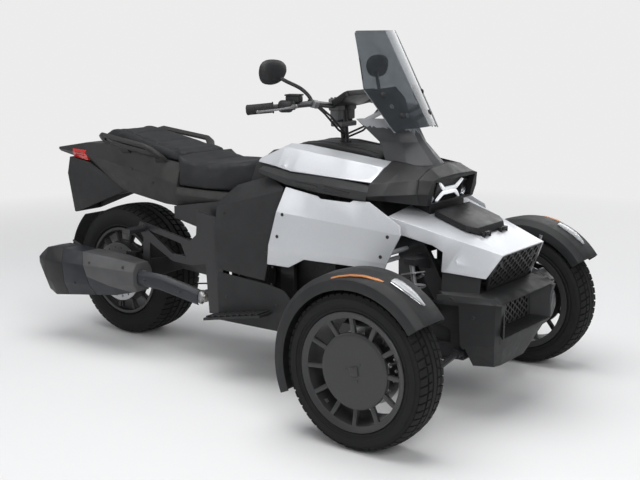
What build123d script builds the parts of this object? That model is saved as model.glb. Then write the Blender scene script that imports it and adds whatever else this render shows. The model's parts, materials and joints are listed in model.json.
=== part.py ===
from build123d import *
from math import cos, radians, sin, sqrt, tan
import os

# Three-wheeled open road vehicle: two steered wheels in front, one driven wheel behind.
# Millimetres. +X is forward, +Y is left, +Z is up, and the floor is z = 0.
# Outlines are half outlines (across, up) unless a comment says otherwise.

# ---- driving dimensions ----
wheelbase = 1716
front_axle_x = 950
rear_axle_x = front_axle_x - wheelbase
front_half_track = 622
front_tyre_diameter = 562
front_tyre_width = 165
rear_tyre_diameter = 606
rear_tyre_width = 225
front_axle_z = front_tyre_diameter / 2
rear_axle_z = rear_tyre_diameter / 2
rim_seat_radius = 190.5
rim_lip_radius = 202.5
rim_wall = 6.5
rim_lip_width = 7
window_count = 12
window_inner_radius = 143
window_outer_radius = 181
window_width = 60
spoke_rib_width = 14
spoke_rib_height = 9
hub_radius = 48
spindle_radius = 22
hub_cap_radius = 36
running_fit = 0.05
disc_thickness = 5
front_disc_radius = 135
rear_disc_radius = 135
caliper_gap = 5

frame_outer_y = 200
frame_plate = 20
tube_radius = 14

panel_wall = 4
post_radius = 9

kingpin_low = (957, 505, 175)
kingpin_high = (938, 478, 395)
kingpin_radius = 10
eye_radius = 20
eye_height = 26
arm_tube_radius = 11
lower_pivot_z = 252
upper_pivot_z = 400
rear_pivot_x = 850
front_lower_pivot_x = 1078
front_upper_pivot_x = 975
shock_top = (960, 344, 604)
shock_foot = (1052, 386, 222)
spring_radius = 36
spring_wire = 5
spring_turns = 7
spring_seat_radius = 44
spring_foot = 68
spring_head = 52

fender_inner_radius = 325
fender_wall = 4
fender_half_width = 88
fender_front_angle = 36
fender_rear_angle = 203

rack_x = 785
rack_z = 312
rack_radius = 12
rack_housing_radius = 22
rack_half_length = 150
tie_rod_eye_height = 18
steer_eye_gap = 11
tie_rod_radius = 8

deck_slope = 0.34
deck_x = 1028
deck_z = 690
nose_top = (1226, 621)
nose_lean = 50 / 121
trunk_front_x = 1066
lid_front = 1098
trunk_rear_x = 935
trunk_half_width = 115
trunk_floor_z = 480
trunk_wall = 4
lid_overlap = 12
lid_gap = 5
lid_thickness = 20
hinge_radius = 5

steer_column_x = 432
steer_column_z = 966
steer_column_lean = 6
column_radius = 16
bar_radius = 11.5
grip_radius = 17

screen_radius = 336
screen_wall = 4
tower_floor_z = 902


def across(x):
    """Upright plane across the vehicle, with local axes (left, up)."""
    return Plane(origin=(x, 0, 0), x_dir=(0, 1, 0), z_dir=(1, 0, 0))


def face_on(plane, outline):
    """Flat face with straight edges."""
    with BuildSketch(plane) as flat:
        with BuildLine():
            Polyline(*outline, close=True)
        make_face()
    return flat.sketch.face()


def both_halves(half):
    """Closed outline from its left half, which runs from the top middle to the bottom middle."""
    return half + [(-y, z) for y, z in reversed(half) if y > 0]


def set_in(points, wall):
    """An open line moved to its right-hand side by a wall thickness, corners kept."""
    moved = []
    for index, (y, z) in enumerate(points):
        before = points[max(index - 1, 0)]
        after = points[min(index + 1, len(points) - 1)]
        normals = []
        for start, end in ((before, (y, z)), ((y, z), after)):
            run = sqrt((end[0] - start[0]) ** 2 + (end[1] - start[1]) ** 2)
            if run > 0:
                normals.append(((end[1] - start[1]) / run, -(end[0] - start[0]) / run))
        mean = (sum(n[0] for n in normals) / len(normals), sum(n[1] for n in normals) / len(normals))
        size = mean[0] ** 2 + mean[1] ** 2
        moved.append((y - wall * -mean[0] / size, z + wall * mean[1] / size))
    return moved


def body_between(rows, mode=Mode.ADD):
    """Solid with straight facets through closed symmetric sections (x, half outline)."""
    loft([face_on(across(x), both_halves(half)) for x, half in rows], ruled=True, mode=mode)


def sheet_between(rows, wall):
    """Folded sheet through sections (x, open outer line from its top edge down)."""
    sections = []
    for x, line in rows:
        sections.append(face_on(across(x), line + list(reversed(set_in(line, wall)))))
    loft(sections, ruled=True)


def rod(start, end, radius, mode=Mode.ADD):
    """Round bar from point to point."""
    run = Vector(*end) - Vector(*start)
    with BuildSketch(Plane(origin=start, z_dir=run.normalized())) as section:
        Circle(radius)
    extrude(section.sketch, amount=run.length, mode=mode)


def bent_tube(points, bend, radius):
    """Round bar along straight runs joined by arcs."""
    with BuildLine() as path:
        FilletPolyline(*points, radius=bend)
    start = Plane(origin=path.line @ 0, z_dir=path.line % 0)
    with BuildSketch(start) as section:
        Circle(radius)
    sweep(section.sketch, path=path.line)


def block(x_range, y_range, z_range, mode=Mode.ADD):
    """Box from its lowest to its highest corner."""
    size = (x_range[1] - x_range[0], y_range[1] - y_range[0], z_range[1] - z_range[0])
    with Locations((x_range[0], y_range[0], z_range[0])):
        Box(*size, align=(Align.MIN, Align.MIN, Align.MIN), mode=mode)


def side_cut(outline, y_range, mode):
    """Side outline (forward, up) taken through a band of the width."""
    plane = Plane(origin=(0, y_range[1], 0), x_dir=(1, 0, 0), z_dir=(0, -1, 0))
    extrude(face_on(plane, outline), amount=y_range[1] - y_range[0], mode=mode)


def finish(piece, label):
    piece.part.label = label
    export_step(piece.part, f"parts/{label}.step")
    print(f"{label:18s} {len(piece.part.solids())} solids {piece.part.volume / 1000:9.1f} cm3")


os.makedirs("parts", exist_ok=True)


# ---- wheels ----
def wheel_plane(axle_x, centre_y, axle_z, side):
    """Plane through an axle, with local axes (outward, radial)."""
    return Plane(origin=(axle_x, centre_y, axle_z), x_dir=(0, side, 0), z_dir=(side, 0, 0))


def rim_outline(half_width, dish, capped):
    """Half section of a rim as (outward, radius) points; dish is how far out its face stands."""
    bore = spindle_radius + running_fit
    cap = [(dish - 2, 0), (dish - 20, 0), (dish - 20, bore)] if capped else [(dish - 2, bore)]
    inside = rim_seat_radius - rim_wall
    lip = half_width + rim_lip_width
    return [
        (-40, bore), (-40, hub_radius), (dish - 34, hub_radius), (dish - 16, 131),
        (dish - 12, 140), (dish - 12, inside), (-lip, inside), (-lip, rim_lip_radius),
        (-half_width, rim_lip_radius), (-half_width, rim_seat_radius), (half_width, rim_seat_radius),
        (half_width, rim_lip_radius), (lip, rim_lip_radius), (lip, rim_seat_radius - 1),
        (dish + 2, inside), (dish, 140), (dish - 6, 131), (dish - 10, hub_cap_radius),
        (dish - 2, hub_cap_radius - 2), *cap,
    ]


def make_rim(axle, side, half_width, dish, capped):
    plane = wheel_plane(*axle, side)
    axis = Axis(axle, (0, side, 0))
    face_plane = Plane(origin=(axle[0], axle[1] + side * (dish - 20), axle[2]), x_dir=(1, 0, 0), z_dir=(0, side, 0))
    with BuildPart() as rim:
        with BuildSketch(plane):
            with BuildLine():
                Polyline(*rim_outline(half_width, dish, capped), close=True)
            make_face()
        revolve(axis=axis)
        with BuildSketch(face_plane):
            with PolarLocations((window_inner_radius + window_outer_radius) / 2, window_count):
                Rectangle(window_outer_radius - window_inner_radius, window_width)
        extrude(amount=60, mode=Mode.SUBTRACT)
        rib_start = window_inner_radius - 8
        rib_run = rim_seat_radius - rim_wall - rib_start + 2
        with BuildSketch(face_plane.offset(18)):
            with PolarLocations(rib_start + rib_run / 2, window_count, start_angle=180 / window_count):
                Rectangle(rib_run, spoke_rib_width)
        extrude(amount=spoke_rib_height)
    return rim


def make_tyre(axle, side, width, diameter, seat_half_width):
    half = width / 2
    outer = diameter / 2
    wall = 11
    bead = seat_half_width - 0.5
    with BuildPart() as tyre:
        with BuildSketch(wheel_plane(*axle, side)):
            with BuildLine():
                left = [(-bead, rim_seat_radius), (-bead, rim_lip_radius + 2)]
                Polyline(*left)
                ThreePointArc(left[1], (-half, (rim_lip_radius + outer) / 2), (-half + 12, outer - 14))
                Line((-half + 12, outer - 14), (-half + 24, outer - 6))
                ThreePointArc((-half + 24, outer - 6), (0, outer), (half - 24, outer - 6))
                Line((half - 24, outer - 6), (half - 12, outer - 14))
                ThreePointArc((half - 12, outer - 14), (half, (rim_lip_radius + outer) / 2), (bead, rim_lip_radius + 2))
                Polyline((bead, rim_lip_radius + 2), (bead, rim_seat_radius), (bead - 14, rim_seat_radius))
                ThreePointArc((bead - 14, rim_seat_radius), (half - wall, (rim_lip_radius + outer) / 2),
                              (half - 26, outer - 18))
                Line((half - 26, outer - 18), (-half + 26, outer - 18))
                ThreePointArc((-half + 26, outer - 18), (-half + wall, (rim_lip_radius + outer) / 2),
                              (-bead + 14, rim_seat_radius))
                Line((-bead + 14, rim_seat_radius), (-bead, rim_seat_radius))
            make_face()
        revolve(axis=Axis(axle, (0, side, 0)))
    return tyre


def make_disc(axle, side, offset_out, outer_radius, hat_radius):
    """Brake disc with its hat round the hub, offset_out from the wheel's middle plane."""
    plane = Plane(origin=(axle[0], axle[1] + side * offset_out, axle[2]), x_dir=(1, 0, 0), z_dir=(0, side, 0))
    with BuildPart() as disc:
        with BuildSketch(plane):
            Circle(outer_radius)
            Circle(hub_radius, mode=Mode.SUBTRACT)
            with PolarLocations(outer_radius - 22, 18):
                Circle(5, mode=Mode.SUBTRACT)
            with PolarLocations((outer_radius + hat_radius) / 2 - 14, 9, start_angle=10):
                Circle(9, mode=Mode.SUBTRACT)
        extrude(amount=disc_thickness)
    return disc


front_rim_half = 72
front_dish = 64
rear_rim_half = 96
rear_dish = 84
front_disc_offset = -30

for side, name in ((1, "left"), (-1, "right")):
    axle = (front_axle_x, side * front_half_track, front_axle_z)
    rim = make_rim(axle, side, front_rim_half, front_dish, True)
    finish(rim, f"rim_front_{name}")
    tyre = make_tyre(axle, side, front_tyre_width, front_tyre_diameter, front_rim_half)
    finish(tyre, f"tyre_front_{name}")
    disc = make_disc(axle, side, front_disc_offset, front_disc_radius, 70)
    finish(disc, f"disc_front_{name}")

rear_axle = (rear_axle_x, 0, rear_axle_z)
rear_rim = make_rim(rear_axle, -1, rear_rim_half, rear_dish, False)
finish(rear_rim, "rim_rear")
rear_tyre = make_tyre(rear_axle, 1, rear_tyre_width, rear_tyre_diameter, rear_rim_half)
finish(rear_tyre, "tyre_rear")


# ---- frame ----
frame_outline = [
    (1095, 225), (1095, 600), (1048, 600), (1048, 430), (925, 640), (300, 712), (-60, 706), (-330, 660),
    (-330, 610), (-92, 560), (-98, 462), (-280, 448), (-300, 432), (-300, 404), (-280, 390), (-104, 376),
    (-110, 225),
]
frame_windows = [
    [(885, 282), (1042, 282), (1042, 330), (960, 362), (885, 362)],
    [(885, 434), (972, 434), (885, 575)],
    [(320, 282), (815, 282), (815, 590), (320, 650)],
    [(-40, 282), (255, 282), (255, 655), (-40, 645)],
]
cross_members = [  # (x from, x to, z from, z to) of the box beams between the two side plates
    (1055, 1095, 225, 265), (1075, 1095, 380, 410), (1075, 1095, 565, 595), (835, 885, 225, 262),
    (260, 320, 225, 250), (-95, -50, 225, 250), (-330, -290, 612, 655), (835, 885, 585, 615),
    (-90, -50, 640, 690),
]
frame_inner_y = frame_outer_y - frame_plate
belt_front = (-150, 330)
belt_front_radius = 44
belt_rear_radius = 104
belt_y = (118, 130)
belt_thickness = 5
belt_gap = 0.3
swing_pivot_radius = 16
arm_y = 160
tail_rail_y = (60, 85)

with BuildPart() as frame:
    for side in (-1, 1):
        band = (frame_inner_y, frame_outer_y) if side > 0 else (-frame_outer_y, -frame_inner_y)
        side_cut(frame_outline, band, Mode.ADD)
    for window in frame_windows:
        side_cut(window, (-frame_outer_y - 5, frame_outer_y + 5), Mode.SUBTRACT)
finish(frame, "frame")

with BuildPart() as frame_beams:
    for x_low, x_high, z_low, z_high in cross_members:
        block((x_low, x_high), (-frame_inner_y, frame_inner_y), (z_low, z_high))
    # rear sub-frame rails that carry the seats and the tail
    for side in (-1, 1):
        low_y, high_y = sorted((side * tail_rail_y[0], side * tail_rail_y[1]))
        side_cut([(-285, 655), (-285, 615), (-480, 700), (-900, 790), (-900, 815), (-480, 735)],
                 (low_y, high_y), Mode.ADD)
        # shock towers reach out over the suspension arms
        y_in, y_out = side * frame_outer_y, side * (shock_top[1] + 18)
        x_mid = shock_top[0]
        tower_in = Plane(origin=(x_mid, y_in, 0), x_dir=(1, 0, 0), z_dir=(0, side, 0))
        tower_out = Plane(origin=(x_mid, y_out, 0), x_dir=(1, 0, 0), z_dir=(0, side, 0))
        up = -side
        loft([face_on(tower_in, [(-45, up * 555), (-10, up * 548), (-10, up * 586), (-45, up * 600)]),
              face_on(tower_out, [(-22, up * 592), (22, up * 592), (22, up * 612), (-22, up * 612)])], ruled=True)
    rod((-270, -frame_inner_y, 420), (-270, -arm_y, 420), swing_pivot_radius)
    rod((-270, arm_y, 420), (-270, frame_inner_y, 420), swing_pivot_radius)
finish(frame_beams, "frame_beams")

with BuildPart() as whole_frame:
    add(frame.part)
    add(frame_beams.part)

with BuildPart() as engine:
    block((-40, 500), (-frame_inner_y + 15, frame_inner_y - 15), (250, 600))
    block((120, 420), (-110, 110), (600, 640))
    block((-200, -40), (50, 110), (285, 375))
    rod((belt_front[0], 108, belt_front[1]), (belt_front[0], belt_y[1] + 2, belt_front[1]), belt_front_radius)
finish(engine, "engine")

# ---- front suspension: arms on the frame, uprights that steer ----
kingpin_run = [high - low for low, high in zip(kingpin_low, kingpin_high)]
kingpin_length = sqrt(sum(part**2 for part in kingpin_run))


def on_kingpin(side, along):
    """Point on the steering axis, along it from the lower eye's middle."""
    return tuple(low + run * along / kingpin_length if axis != 1 else side * (low + run * along / kingpin_length)
                 for axis, (low, run) in enumerate(zip(kingpin_low, kingpin_run)))


def kingpin_rod(side, start, end, radius, mode=Mode.ADD):
    rod(on_kingpin(side, start), on_kingpin(side, end), radius, mode)


arms = [  # (z of the pivots, x of the front pivot, x of the rear pivot, distance of the eye along the steering axis)
    (lower_pivot_z, front_lower_pivot_x, rear_pivot_x, 0),
    (upper_pivot_z, front_upper_pivot_x, rear_pivot_x, kingpin_length),
]
with BuildPart() as control_arms:
    for side in (-1, 1):
        for pivot_z, front_x, back_x, along in arms:
            outer = on_kingpin(side, along)
            eye_side = (outer[0], outer[1] - side * 24, outer[2])
            for pivot_x in (front_x, back_x):
                pivot = (pivot_x, side * (frame_outer_y + 18), pivot_z)
                if along == 0 and pivot_x == front_x:
                    knee = (shock_foot[0], side * shock_foot[1], shock_foot[2] - 20)
                    bent_tube([pivot, knee, eye_side], 40, arm_tube_radius)
                else:
                    rod(pivot, eye_side, arm_tube_radius)
                rod((pivot_x, side * frame_outer_y, pivot_z), (pivot_x, side * (frame_outer_y + 30), pivot_z), 18)
            rod(eye_side, outer, arm_tube_radius)
            kingpin_rod(side, along - eye_height / 2, along + eye_height / 2, eye_radius)
            kingpin_rod(side, along - eye_height, along + eye_height, kingpin_radius + running_fit, Mode.SUBTRACT)
        kingpin_rod(side, eye_height / 2, 80, 27, Mode.SUBTRACT)
        kingpin_rod(side, kingpin_length - 80, kingpin_length - eye_height / 2, 27, Mode.SUBTRACT)
    # shock feet on the lower arms
    for side in (-1, 1):
        x, y, z = shock_foot
        block((x - 14, x + 10), (side * (y - 6) - 15, side * (y - 6) + 15), (z - 24, z))
finish(control_arms, "control_arms")

# ---- fenders that follow the steered wheels ----
fenders = {}
for side, name in ((1, "left"), (-1, "right")):
    wheel = (front_axle_x, side * front_half_track, front_axle_z)
    axis = Axis(wheel, (0, 1, 0))
    lean = radians(fender_front_angle)
    # local axes: radial, then across
    spin = Plane(origin=wheel, x_dir=(cos(lean), 0, sin(lean)), z_dir=(-sin(lean), 0, cos(lean)))
    inner = fender_inner_radius
    half = fender_half_width
    with BuildPart() as fender:
        outline = [(inner - 42, -half), (inner - 6, -half), (inner + 14, -half + 26), (inner + 18, 0),
                   (inner + 14, half - 26), (inner - 6, half), (inner - 42, half)]
        with BuildSketch(spin):
            with BuildLine():
                Polyline(*outline, *reversed(set_in(outline, -fender_wall)), close=True)
            make_face()
        revolve(axis=axis, revolution_arc=-(fender_rear_angle - fender_front_angle))
    fenders[name] = fender
    finish(fender, f"fender_{name}")
    with BuildPart() as fender_lamps:
        for start, sweep_angle, strip in (
            (46, 24, [(inner + 14, side * 2 - 20), (inner + 14, side * 2 + 20), (inner + 23, side * 2 + 16),
                      (inner + 23, side * 2 - 16)]),
            (72, 34, [(inner + 2, side * (half - 8)), (inner + 12, side * (half - 24)),
                      (inner + 20, side * (half - 22)), (inner + 8, side * (half - 3))]),
        ):
            lean = radians(start)
            turned = Plane(origin=wheel, x_dir=(cos(lean), 0, sin(lean)), z_dir=(-sin(lean), 0, cos(lean)))
            revolve(face_on(turned, strip), axis=axis, revolution_arc=-sweep_angle)
        add(fender.part, mode=Mode.SUBTRACT)
    finish(fender_lamps, f"fender_lamps_{name}")


# ---- uprights that carry the front wheels ----
for side, name in ((1, "left"), (-1, "right")):
    wheel_y = side * front_half_track
    with BuildPart() as upright:
        lug = eye_height / 2 + 1
        kingpin_rod(side, -eye_height / 2 - 4, kingpin_length + eye_height / 2 + 4, kingpin_radius)
        kingpin_rod(side, lug, 60, 19)
        kingpin_rod(side, kingpin_length - 60, kingpin_length - lug, 19)
        inner_face = Plane(origin=(front_axle_x, side * 500, front_axle_z), x_dir=(1, 0, 0), z_dir=(0, side, 0))
        with BuildSketch(inner_face.offset(-20)) as web:
            RectangleRounded(64, 150, 20)
        extrude(web.sketch, amount=42)
        with BuildSketch(inner_face) as carrier:
            Circle(44)
        extrude(carrier.sketch, amount=74)
        with BuildSketch(inner_face.offset(74)) as spindle:
            Circle(spindle_radius)
        extrude(spindle.sketch, amount=80)
        # steering arm, back to the tie rod
        steer_eye_top = rack_z - tie_rod_eye_height / 2 - steer_eye_gap
        rod((930, side * 490, front_axle_z), (rack_x, side * 470, steer_eye_top - 10), 9)
        with BuildSketch(Plane.XY.offset(steer_eye_top - 20)) as steer_eye:
            with Locations((rack_x, side * 470)):
                Circle(15)
        extrude(steer_eye.sketch, amount=20)
        # brake caliper round the disc, on a bracket from the carrier
        caliper_plane = Plane(origin=(front_axle_x, side * 556, front_axle_z),
                              x_dir=(cos(radians(50)), 0, sin(radians(50))), z_dir=(0, side, 0))
        with BuildSketch(caliper_plane) as bracket:
            with Locations((88, 0)):
                Rectangle(112, 58)
        extrude(bracket.sketch, amount=18)
        with BuildSketch(caliper_plane.offset(16)) as caliper:
            with Locations((119, 0)):
                RectangleRounded(54, 78, 10)
        extrude(caliper.sketch, amount=40)
        disc_at = front_half_track + front_disc_offset - 556
        with BuildSketch(caliper_plane.offset(disc_at - caliper_gap)) as slot:
            Circle(front_disc_radius + caliper_gap)
            Circle(hub_radius, mode=Mode.SUBTRACT)
        extrude(slot.sketch, amount=disc_thickness + 2 * caliper_gap, mode=Mode.SUBTRACT)
        # fender stays
        flange_y = front_half_track - fender_half_width
        for reach in (-70, 90):
            rod((front_axle_x + reach / 4, side * 516, front_axle_z + 30),
                (front_axle_x + reach, side * (flange_y + 2), front_axle_z + 0.88 * fender_inner_radius), 8)
        low_y, high_y = sorted((side * flange_y, side * (flange_y + 30)))
        block((front_axle_x - 150, front_axle_x + 150), (low_y, high_y),
              (front_axle_z + 200, front_axle_z + 400), Mode.SUBTRACT)
    finish(upright, f"upright_{name}")

# ---- front body ----
def deck_height(x):
    """Height of the flat deck between the shoulders at a place along the vehicle."""
    return deck_z + (deck_x - x) * deck_slope


deck_half_width = 131
hinge_x = lid_front + 8
hinge_z = deck_height(hinge_x) + lid_gap + 6
cowl_rows = [  # (x, shoulder (y, z), lower edge (y, z))
    (1240, (158, 617), (181, 531)),
    (1028, (222, 679), (250, 554)),
    (819, (285, 740), (318, 576)),
]
cowl_outline = [  # (x, z), what is kept of the sides
    (1226, 700), (1226, 621), (1180, 538), (1028, 554), (1024, 623), (988, 644), (884, 673), (822, 690), (822, 780),
]
with BuildPart() as front_cowl:
    outer_rows = []
    inner_rows = []
    for x, shoulder, low in cowl_rows:
        line = [(deck_half_width, deck_height(x)), shoulder, low]
        inner_line = set_in(line, panel_wall)
        top = deck_height(x)
        outer_rows.append((x, [(0, top), *line, (0, low[1])]))
        inner_rows.append((x, [(0, top - panel_wall), (inner_line[0][0], top - panel_wall), *inner_line[1:],
                               (0, low[1])]))
    body_between(outer_rows)
    body_between(inner_rows, Mode.SUBTRACT)
    side_cut(cowl_outline, (-400, 400), Mode.INTERSECT)
    block((trunk_rear_x, trunk_front_x), (-trunk_half_width, trunk_half_width), (600, 800), Mode.SUBTRACT)
    for side in (-1, 1):
        rod((1070, side * frame_outer_y, 588), (1070, side * (frame_outer_y + 28), 588), post_radius)
        # lugs and pin of the lid's hinge
        for low_y, high_y in ((39, 47), (83, 91)):
            lug_y = sorted((side * low_y, side * high_y))
            block((hinge_x - 6, hinge_x + 6), lug_y, (deck_height(hinge_x) - 3, hinge_z + hinge_radius))
        rod((hinge_x, side * 41, hinge_z), (hinge_x, side * 89, hinge_z), hinge_radius)
finish(front_cowl, "front_cowl")

with BuildPart() as trunk_tub:
    wall = trunk_wall
    outer_y = trunk_half_width + wall
    block((trunk_rear_x - wall, trunk_front_x + wall), (-outer_y, outer_y), (trunk_floor_z - wall, 800))
    block((trunk_rear_x, trunk_front_x), (-trunk_half_width, trunk_half_width), (trunk_floor_z, 810), Mode.SUBTRACT)
    under_deck = [(x, deck_height(x) - panel_wall) for x in (1200, 800)]
    side_cut([*under_deck, (800, 900), (1200, 900)], (-200, 200), Mode.SUBTRACT)
finish(trunk_tub, "trunk_tub")

lid_rear = trunk_rear_x - lid_overlap + 2
lid_half = trunk_half_width + lid_overlap + 2
with BuildPart() as trunk_lid:
    low_front = deck_height(lid_front) + lid_gap
    low_rear = deck_height(lid_rear) + lid_gap
    side_cut([(lid_front, low_front), (lid_front - 10, low_front + lid_thickness + 5),
              (lid_rear, low_rear + lid_thickness), (lid_rear, low_rear)], (-lid_half, lid_half), Mode.ADD)
    with BuildSketch(Plane.XY.offset(600)) as lid_plan:
        with BuildLine():
            Polyline((lid_front, 92), (lid_front - 42, lid_half), (lid_rear, lid_half), (lid_rear, -lid_half),
                     (lid_front - 42, -lid_half), (lid_front, -92), close=True)
        make_face()
    extrude(lid_plan.sketch, amount=200, mode=Mode.INTERSECT)
    for side in (-1, 1):
        barrel_y = sorted((side * 50, side * 80))
        rod((hinge_x, barrel_y[0], hinge_z), (hinge_x, barrel_y[1], hinge_z), hinge_radius + 3)
        block((lid_front - 6, hinge_x), barrel_y, (hinge_z - 3, hinge_z + 3))
        rod((hinge_x, barrel_y[0] - 10, hinge_z), (hinge_x, barrel_y[1] + 10, hinge_z),
            hinge_radius + running_fit, Mode.SUBTRACT)
finish(trunk_lid, "trunk_lid")

nose_normal = Vector(1, 0, -nose_lean).normalized()
nose_plane = Plane(origin=(nose_top[0], 0, nose_top[1]), x_dir=(0, 1, 0), z_dir=nose_normal)
mesh_x = 1196
mesh_half = 125
grille_outline = [(158, -5), (190, -90), (162, -150)]
hex_radius = 14
with BuildPart() as grilles:
    with BuildSketch(nose_plane.offset(-14)):
        with BuildLine():
            Polyline(*grille_outline, *[(-y, z) for y, z in reversed(grille_outline)], close=True)
        make_face()
        with BuildSketch(mode=Mode.SUBTRACT):
            with Locations((0, -76)):
                with HexLocations(hex_radius + 1.5, 14, 6):
                    RegularPolygon(hex_radius, 6)
            with BuildLine():
                Polyline((144, -14), (174, -90), (150, -138), (-150, -138), (-174, -90), (-144, -14), close=True)
            make_face(mode=Mode.INTERSECT)
    extrude(amount=8)
    for side in (-1, 1):
        x_plate = nose_top[0] - nose_lean * (nose_top[1] - 580) - 8
        rod((1095, side * 120, 580), (x_plate, side * 120, 580), 12)
    with BuildSketch(across(mesh_x - 8)) as mesh:
        with Locations((0, 392.5)):
            Rectangle(2 * mesh_half, 95)
            with GridLocations(38, 26, 6, 4):
                RegularPolygon(11, 4, rotation=0, mode=Mode.SUBTRACT)
            with GridLocations(38, 26, 5, 3):
                RegularPolygon(11, 4, rotation=0, mode=Mode.SUBTRACT)
    extrude(mesh.sketch, amount=8)
    for side in (-1, 1):
        rod((1095, side * 114, 395), (mesh_x - 8, side * 114, 395), 7)
finish(grilles, "grilles")

bumper_top = 483
bumper_rows = [  # (z, half plan outline (x, y) from the middle of the front, rearwards)
    (bumper_top, [(1150, 0), (1156, 150), (1166, 206), (1018, 252), (1018, 0)]),
    (474, [(1196, 0), (1204, 160), (1222, 214), (1018, 261), (1018, 0)]),
    (453, [(1262, 0), (1262, 125), (1255, 219), (1018, 268), (1018, 0)]),
    (297, [(1228, 0), (1228, 125), (1219, 200), (1045, 255), (1045, 0)]),
    (196, [(1190, 0), (1190, 90), (1180, 125), (1080, 165), (1080, 0)]),
]
with BuildPart() as bumper:
    def plan(rows, wall):
        faces = []
        for z, half in rows:
            moved = [(x - (wall if x > 1100 else -wall * 3), max(y - wall, 0) if y > 0 else 0) for x, y in half]
            faces.append(face_on(Plane.XY.offset(z), moved + [(x, -y) for x, y in reversed(moved) if y > 0]))
        return faces
    loft(plan(bumper_rows, 0), ruled=True)
    hollow_rows = [(bumper_rows[1][0] - 1, bumper_rows[1][1]), *bumper_rows[2:-1],
                   (bumper_rows[-1][0] + panel_wall, bumper_rows[-1][1])]
    loft(plan(hollow_rows, panel_wall), ruled=True, mode=Mode.SUBTRACT)
    block((1000, 1110), (-216, 216), (150, 520), Mode.SUBTRACT)
    block((1000, 1100), (-300, 300), (150, 440), Mode.SUBTRACT)
    # mouth that narrows to the mesh
    loft([face_on(across(mesh_x - 8), [(-mesh_half, 345), (-mesh_half, 440), (mesh_half, 440), (mesh_half, 345)]),
          face_on(across(1275), [(-206, 322), (-206, 462), (206, 462), (206, 322)])],
         ruled=True, mode=Mode.SUBTRACT)
    loft([face_on(across(mesh_x - 8), [(-mesh_half - 4, 341), (-mesh_half - 4, 444), (mesh_half + 4, 444),
                                       (mesh_half + 4, 341)]),
          face_on(across(1250), [(-194, 324), (-194, 458), (194, 458), (194, 324)])], ruled=True)
    loft([face_on(across(mesh_x - 8), [(-mesh_half, 345), (-mesh_half, 440), (mesh_half, 440), (mesh_half, 345)]),
          face_on(across(1275), [(-206, 322), (-206, 462), (206, 462), (206, 322)])],
         ruled=True, mode=Mode.SUBTRACT)
    for side in (-1, 1):
        rod((1070, side * frame_outer_y, 458), (1070, side * (frame_outer_y + 54), 458), post_radius)
        # lip that closes the gap under the painted side
        lip_rows = [(1028, 238, 562, 246), (1158, 186, 556, 202)]
        loft([face_on(across(x), [(side * y_top, z_top), (side * (y_top + panel_wall), z_top),
                                  (side * (y_low + panel_wall), bumper_top - 2), (side * y_low, bumper_top - 2)])
              for x, y_top, z_top, y_low in lip_rows], ruled=True)
finish(bumper, "bumper")


# ---- headlamp pod ----
pod_rows = [
    (945, [(0, 872), (120, 868), (158, 862), (165, 812), (150, 768), (0, 762)]),
    (895, [(0, 908), (110, 900), (185, 866), (200, 815), (185, 772), (0, 765)]),
    (800, [(0, 925), (120, 912), (250, 857), (284, 812), (270, 790), (0, 780)]),
    (735, [(0, 935), (130, 918), (275, 850), (300, 806), (290, 792), (0, 785)]),
]
with BuildPart() as headlight_pod:
    body_between(pod_rows)
    side_cut([(941, 868), (915, 762), (960, 740), (1000, 900), (945, 890)], (-400, 400), Mode.SUBTRACT)
    # neck down to the deck
    side_cut([(903, 772), (903, deck_height(903)), (830, deck_height(830)), (830, 790)], (-125, 125), Mode.ADD)
    # recess that holds the lamps
    side_cut([(960, 856), (905, 856), (885, 776), (960, 776)], (-146, 146), Mode.SUBTRACT)
    block((690, 882), (-112, 112), (tower_floor_z, 1000), Mode.SUBTRACT)
finish(headlight_pod, "headlight_pod")

lamp_plane = Plane(origin=(885, 0, 776), x_dir=(0, 1, 0), z_dir=Vector(80, 0, -20).normalized())
with BuildPart() as headlamps:
    for side in (-1, 1):
        with BuildSketch(lamp_plane):
            with Locations((side * 96, 40)):
                RectangleRounded(74, 60, 12)
        extrude(amount=26)
        for turn in (-1, 1):
            with BuildSketch(lamp_plane):
                with BuildLine():
                    Polyline((side * 0, 41 + turn * 7), (side * 30, 41 + turn * 7), (side * 50, 41 + turn * 30),
                             (side * 39, 41 + turn * 30), (side * 25, 41 + turn * 16), (side * 0, 41 + turn * 16),
                             close=True)
                make_face()
            extrude(amount=30)
finish(headlamps, "headlamps")

# ---- tank, its covers and trims ----
tank_floor_z = 716
tank_top_z = 925
tank_side_y = 195
steer_lean_run = tan(radians(steer_column_lean))


def on_column(z):
    """Point on the steering column's axis at a height."""
    return (steer_column_x - (z - steer_column_z) * steer_lean_run, 0, z)


with BuildPart() as tank:
    half_tank = [(0, tank_top_z), (108, tank_top_z), (tank_side_y, 878), (tank_side_y, tank_floor_z), (0, tank_floor_z)]
    body_between([(60, half_tank), (732, half_tank)])
    side_cut([(20, 1000), (20, 700), (64, 716), (152, 925), (152, 1000)], (-300, 300), Mode.SUBTRACT)
    side_cut([(620, tank_top_z), (760, 893), (760, 960), (620, 960)], (-300, 300), Mode.SUBTRACT)
    rod(on_column(780), on_column(940), column_radius + running_fit, Mode.SUBTRACT)
    block((684, 740), (-200, 200), (tower_floor_z, 1000), Mode.SUBTRACT)
finish(tank, "tank")

with BuildPart() as console_pad:
    side_cut([(235, tank_top_z), (255, 950), (320, 966), (430, 966), (600, 945), (670, 926.7), (670, 913.57), (620, tank_top_z)],
             (-108, 108), Mode.ADD)
    rod(on_column(900), on_column(1000), column_radius + 8, Mode.SUBTRACT)
finish(console_pad, "console_pad")

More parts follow.
